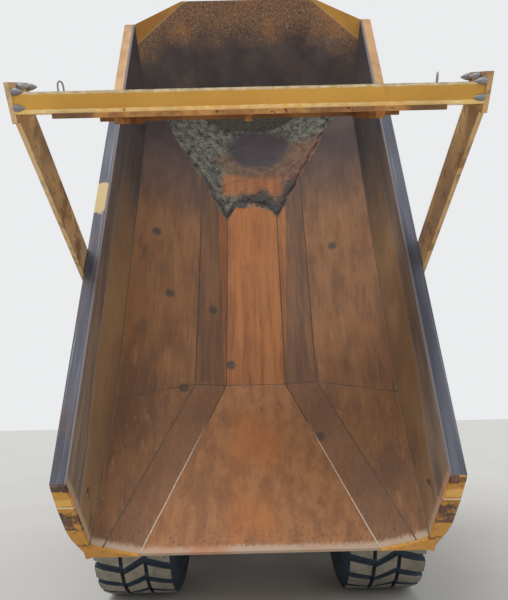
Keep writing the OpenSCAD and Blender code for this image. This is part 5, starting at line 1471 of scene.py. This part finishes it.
# %% Lamps and mirror glass
DOME = [(0, 0), (0, 0.078), (0.026, 0.083), (0.031, 0.080), (0.035, 0.060), (0.0370, 0.030), (0.0375, 0)]
RING = [(0.022, 0.0835), (0.022, 0.0915), (0.039, 0.0915), (0.042, 0.087), (0.036, 0.0835)]
bm = bmesh.new()
for x in (-0.810, -0.600, 0.600, 0.810):
    at = turned_to((0, 1, 0), (x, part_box("head_lamps")[0].y, 1.130))
    put(bm, knob(DOME, 32), at)
    put(bm, paint_all(turned_part(RING, 32), 1), at)
piece("head_lamp_units", bm, "front", "lamp", lens_glass, chrome, stands_for=("head_lamps",))

bm = bmesh.new()
lamp_low, lamp_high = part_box("rear_lamps")
lens = lamp_low.y + 0.002
for side in (-1, 1):
    put(bm, strip(frame_of((side * 0.503, lens), (side * 0.124, 0), lamp_low.z + 0.023, lamp_high.z - 0.023),
                  0.005))
    for share in (0.36, 0.64):
        z = lamp_low.z + share * (lamp_high.z - lamp_low.z)
        put(bm, round_bar((side * 0.503, lens, z), (side * 0.627, lens, z), 0.003))
piece("rear_lamp_rims", bm, "rear", "black", black_paint)

bm = bmesh.new()
for x in (-1.150, 1.150):
    put(bm, block((x - 0.096, 3.9575, 2.444), (x + 0.096, 3.9660, 2.956), 0.003))
piece("mirror_panes", bm, "front", "chrome", mirror_glass)

# %% [markdown]
# Last come the small fittings of the front frame. Each tank has a turned cap. A strap is a thin rod
# round the fuel tank's section, and the hydraulic tank has two round gauges on its side.

# %% Tank fittings
UPWARDS = (0, 0, 1)
CAP = [(0, 0), (0, 0.060), (0.010, 0.060), (0.014, 0.048), (0.045, 0.050), (0.050, 0.046), (0.052, 0)]
STRAP = ((0.556, 0.700), (0.608, 0.647), (1.202, 0.647), (1.253, 0.698), (1.253, 1.202), (1.202, 1.253),
         (0.556, 1.253))
bm = bmesh.new()
for y in (4.060, 4.520):
    put(bm, strip([(x, y, z) for x, z in STRAP], 0.007))
put(bm, knob(CAP), turned_to(UPWARDS, (1.020, 4.560, 1.250)))
piece("fuel_tank_fittings", bm, "front", "black", black_paint)

bm = bmesh.new()
put(bm, knob(CAP), turned_to(UPWARDS, (-0.900, 4.300, 1.250)))
for z in (0.900, 1.080):
    put(bm, knob([(0, 0), (0, 0.026), (0.008, 0.026), (0.010, 0.018), (0.005, 0)], 20),
        turned_to((-1, 0, 0), (-1.199, 4.200, z)))
piece("hydraulic_tank_fittings", bm, "front", "steel", bolt_steel)

# %% [markdown]
# A clamp is a thin ring that is spun open, so it fits round the pipe without filling it. The wide
# clamps round the muffler are closed by a bolt. Turned feet carry the handrails.

# %% Exhaust clamps, handrail feet and bumper bolts
STACK_X, STACK_Y = 0.960, 4.187
# Inner and outer radius, width, sides, and the heights of the clamps of this size
LARGE_CLAMPS = (0.1190, 0.1270, 0.028, 40, (1.790, 2.040, 2.290))
SMALL_CLAMPS = (0.0540, 0.0600, 0.022, 32, (2.500, 2.800))
bm = bmesh.new()
for inner, outer, width, sides, heights in (LARGE_CLAMPS, SMALL_CLAMPS):
    for z in heights:
        put(bm, turned_part([(0, inner), (0, outer), (width, outer), (width, inner)], sides),
            turned_to(UPWARDS, (STACK_X, STACK_Y, z)))
for z in LARGE_CLAMPS[-1]:
    at = Matrix.Translation((STACK_X, STACK_Y - 0.126, z + 0.014)) @ Matrix.Rotation(-math.pi / 2, 4, "Z")
    put(bm, hex_bolt(0.010, 0.012, at))
piece("exhaust_clamps", bm, "front", "steel", bolt_steel)

bm = bmesh.new()
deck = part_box("front_mudguards")[1].z
for side in (-1, 1):
    for x, y in ((1.420, 3.947), (1.420, 4.447), (0.850, 4.447)):
        put(bm, knob([(0, 0), (0, 0.036), (0.008, 0.036), (0.010, 0.028), (0.026, 0.020), (0.026, 0)], 20),
            turned_to(UPWARDS, (side * x, y, deck)))
piece("handrail_feet", bm, "front", "painted_yellow", cab_paint)

bm = bmesh.new()
for side in (-1, 1):
    for x, y in ((1.120, 5.600), (0.930, 5.600), (0.250, 5.650)):
        at = Matrix.Translation((side * x, y, 1.250)) @ Matrix.Rotation(-math.pi / 2, 4, "Y")
        put(bm, hex_bolt(0.018, 0.016, at))
piece("bumper_bolts", bm, "front", "steel", bolt_steel)

# %% [markdown]
# The stage is a wide pale floor, a surround that the camera sees as nearly white, and soft light.
# The world lights the object at 0.6 of full strength. Where the camera looks past the truck, or
# metal and glass reflect what is round it, the brighter surround shows instead.

# %% Floor and world
LIGHT, SHOWN = ((0.95, 0.97, 1.0, 1), 0.60), ((0.90, 0.91, 0.92, 1), 0.92)
floor = bmesh.new()
bmesh.ops.create_grid(floor, x_segments=1, y_segments=1, size=60)
floor_mesh = bpy.data.meshes.new("floor")
floor.to_mesh(floor_mesh)
floor.free()
floor_object = bpy.data.objects.new("floor", floor_mesh)
bpy.context.scene.collection.objects.link(floor_object)
f = Finish("pale_floor")
floor_mesh.materials.append(f.done(f.two(f.noise(0.6, 4), (206, 204, 198), (214, 212, 207), 0.0, 1.0), 0.9))

world = bpy.data.worlds.new("studio")
bpy.context.scene.world = world
world.use_nodes = True
tree = world.node_tree
seen = tree.nodes.new("ShaderNodeLightPath").outputs
shown_to = seen["Is Camera Ray"]
for other in ("Is Glossy Ray", "Is Transmission Ray"):
    either = tree.nodes.new("ShaderNodeMath")
    either.operation = "MAXIMUM"
    tree.links.new(shown_to, either.inputs[0])
    tree.links.new(seen[other], either.inputs[1])
    shown_to = either.outputs[0]
mix = tree.nodes.new("ShaderNodeMixShader")
tree.links.new(shown_to, mix.inputs[0])
for socket, (colour, strength) in zip(mix.inputs[1:], (LIGHT, SHOWN)):
    background = tree.nodes.new("ShaderNodeBackground")
    background.inputs["Color"].default_value = colour
    background.inputs["Strength"].default_value = strength
    tree.links.new(background.outputs[0], socket)
tree.links.new(mix.outputs[0], tree.nodes["World Output"].inputs[0])
print("world", len(tree.nodes), "nodes")

# %% [markdown]
# Two wide lamps give the forms their shade: a key from behind the camera's left shoulder, and a
# weaker fill from the right. Their wide angle keeps the shadows soft.

# %% Lamps
def soft_sun(name, strength, spread, from_side, from_height):
    lamp = bpy.data.objects.new(name, bpy.data.lights.new(name, "SUN"))
    lamp.data.energy = strength
    lamp.data.angle = math.radians(spread)
    lamp.rotation_euler = (math.radians(90 - from_height), 0, math.radians(from_side))
    bpy.context.scene.collection.objects.link(lamp)


soft_sun("key", 1.5, 30, -35, 50)
soft_sun("fill", 0.5, 60, 50, 25)

# %% [markdown]
# The view transform is plain, so a colour shows as it is written.

# %% Settings
bpy.context.scene.view_settings.view_transform = "Standard"
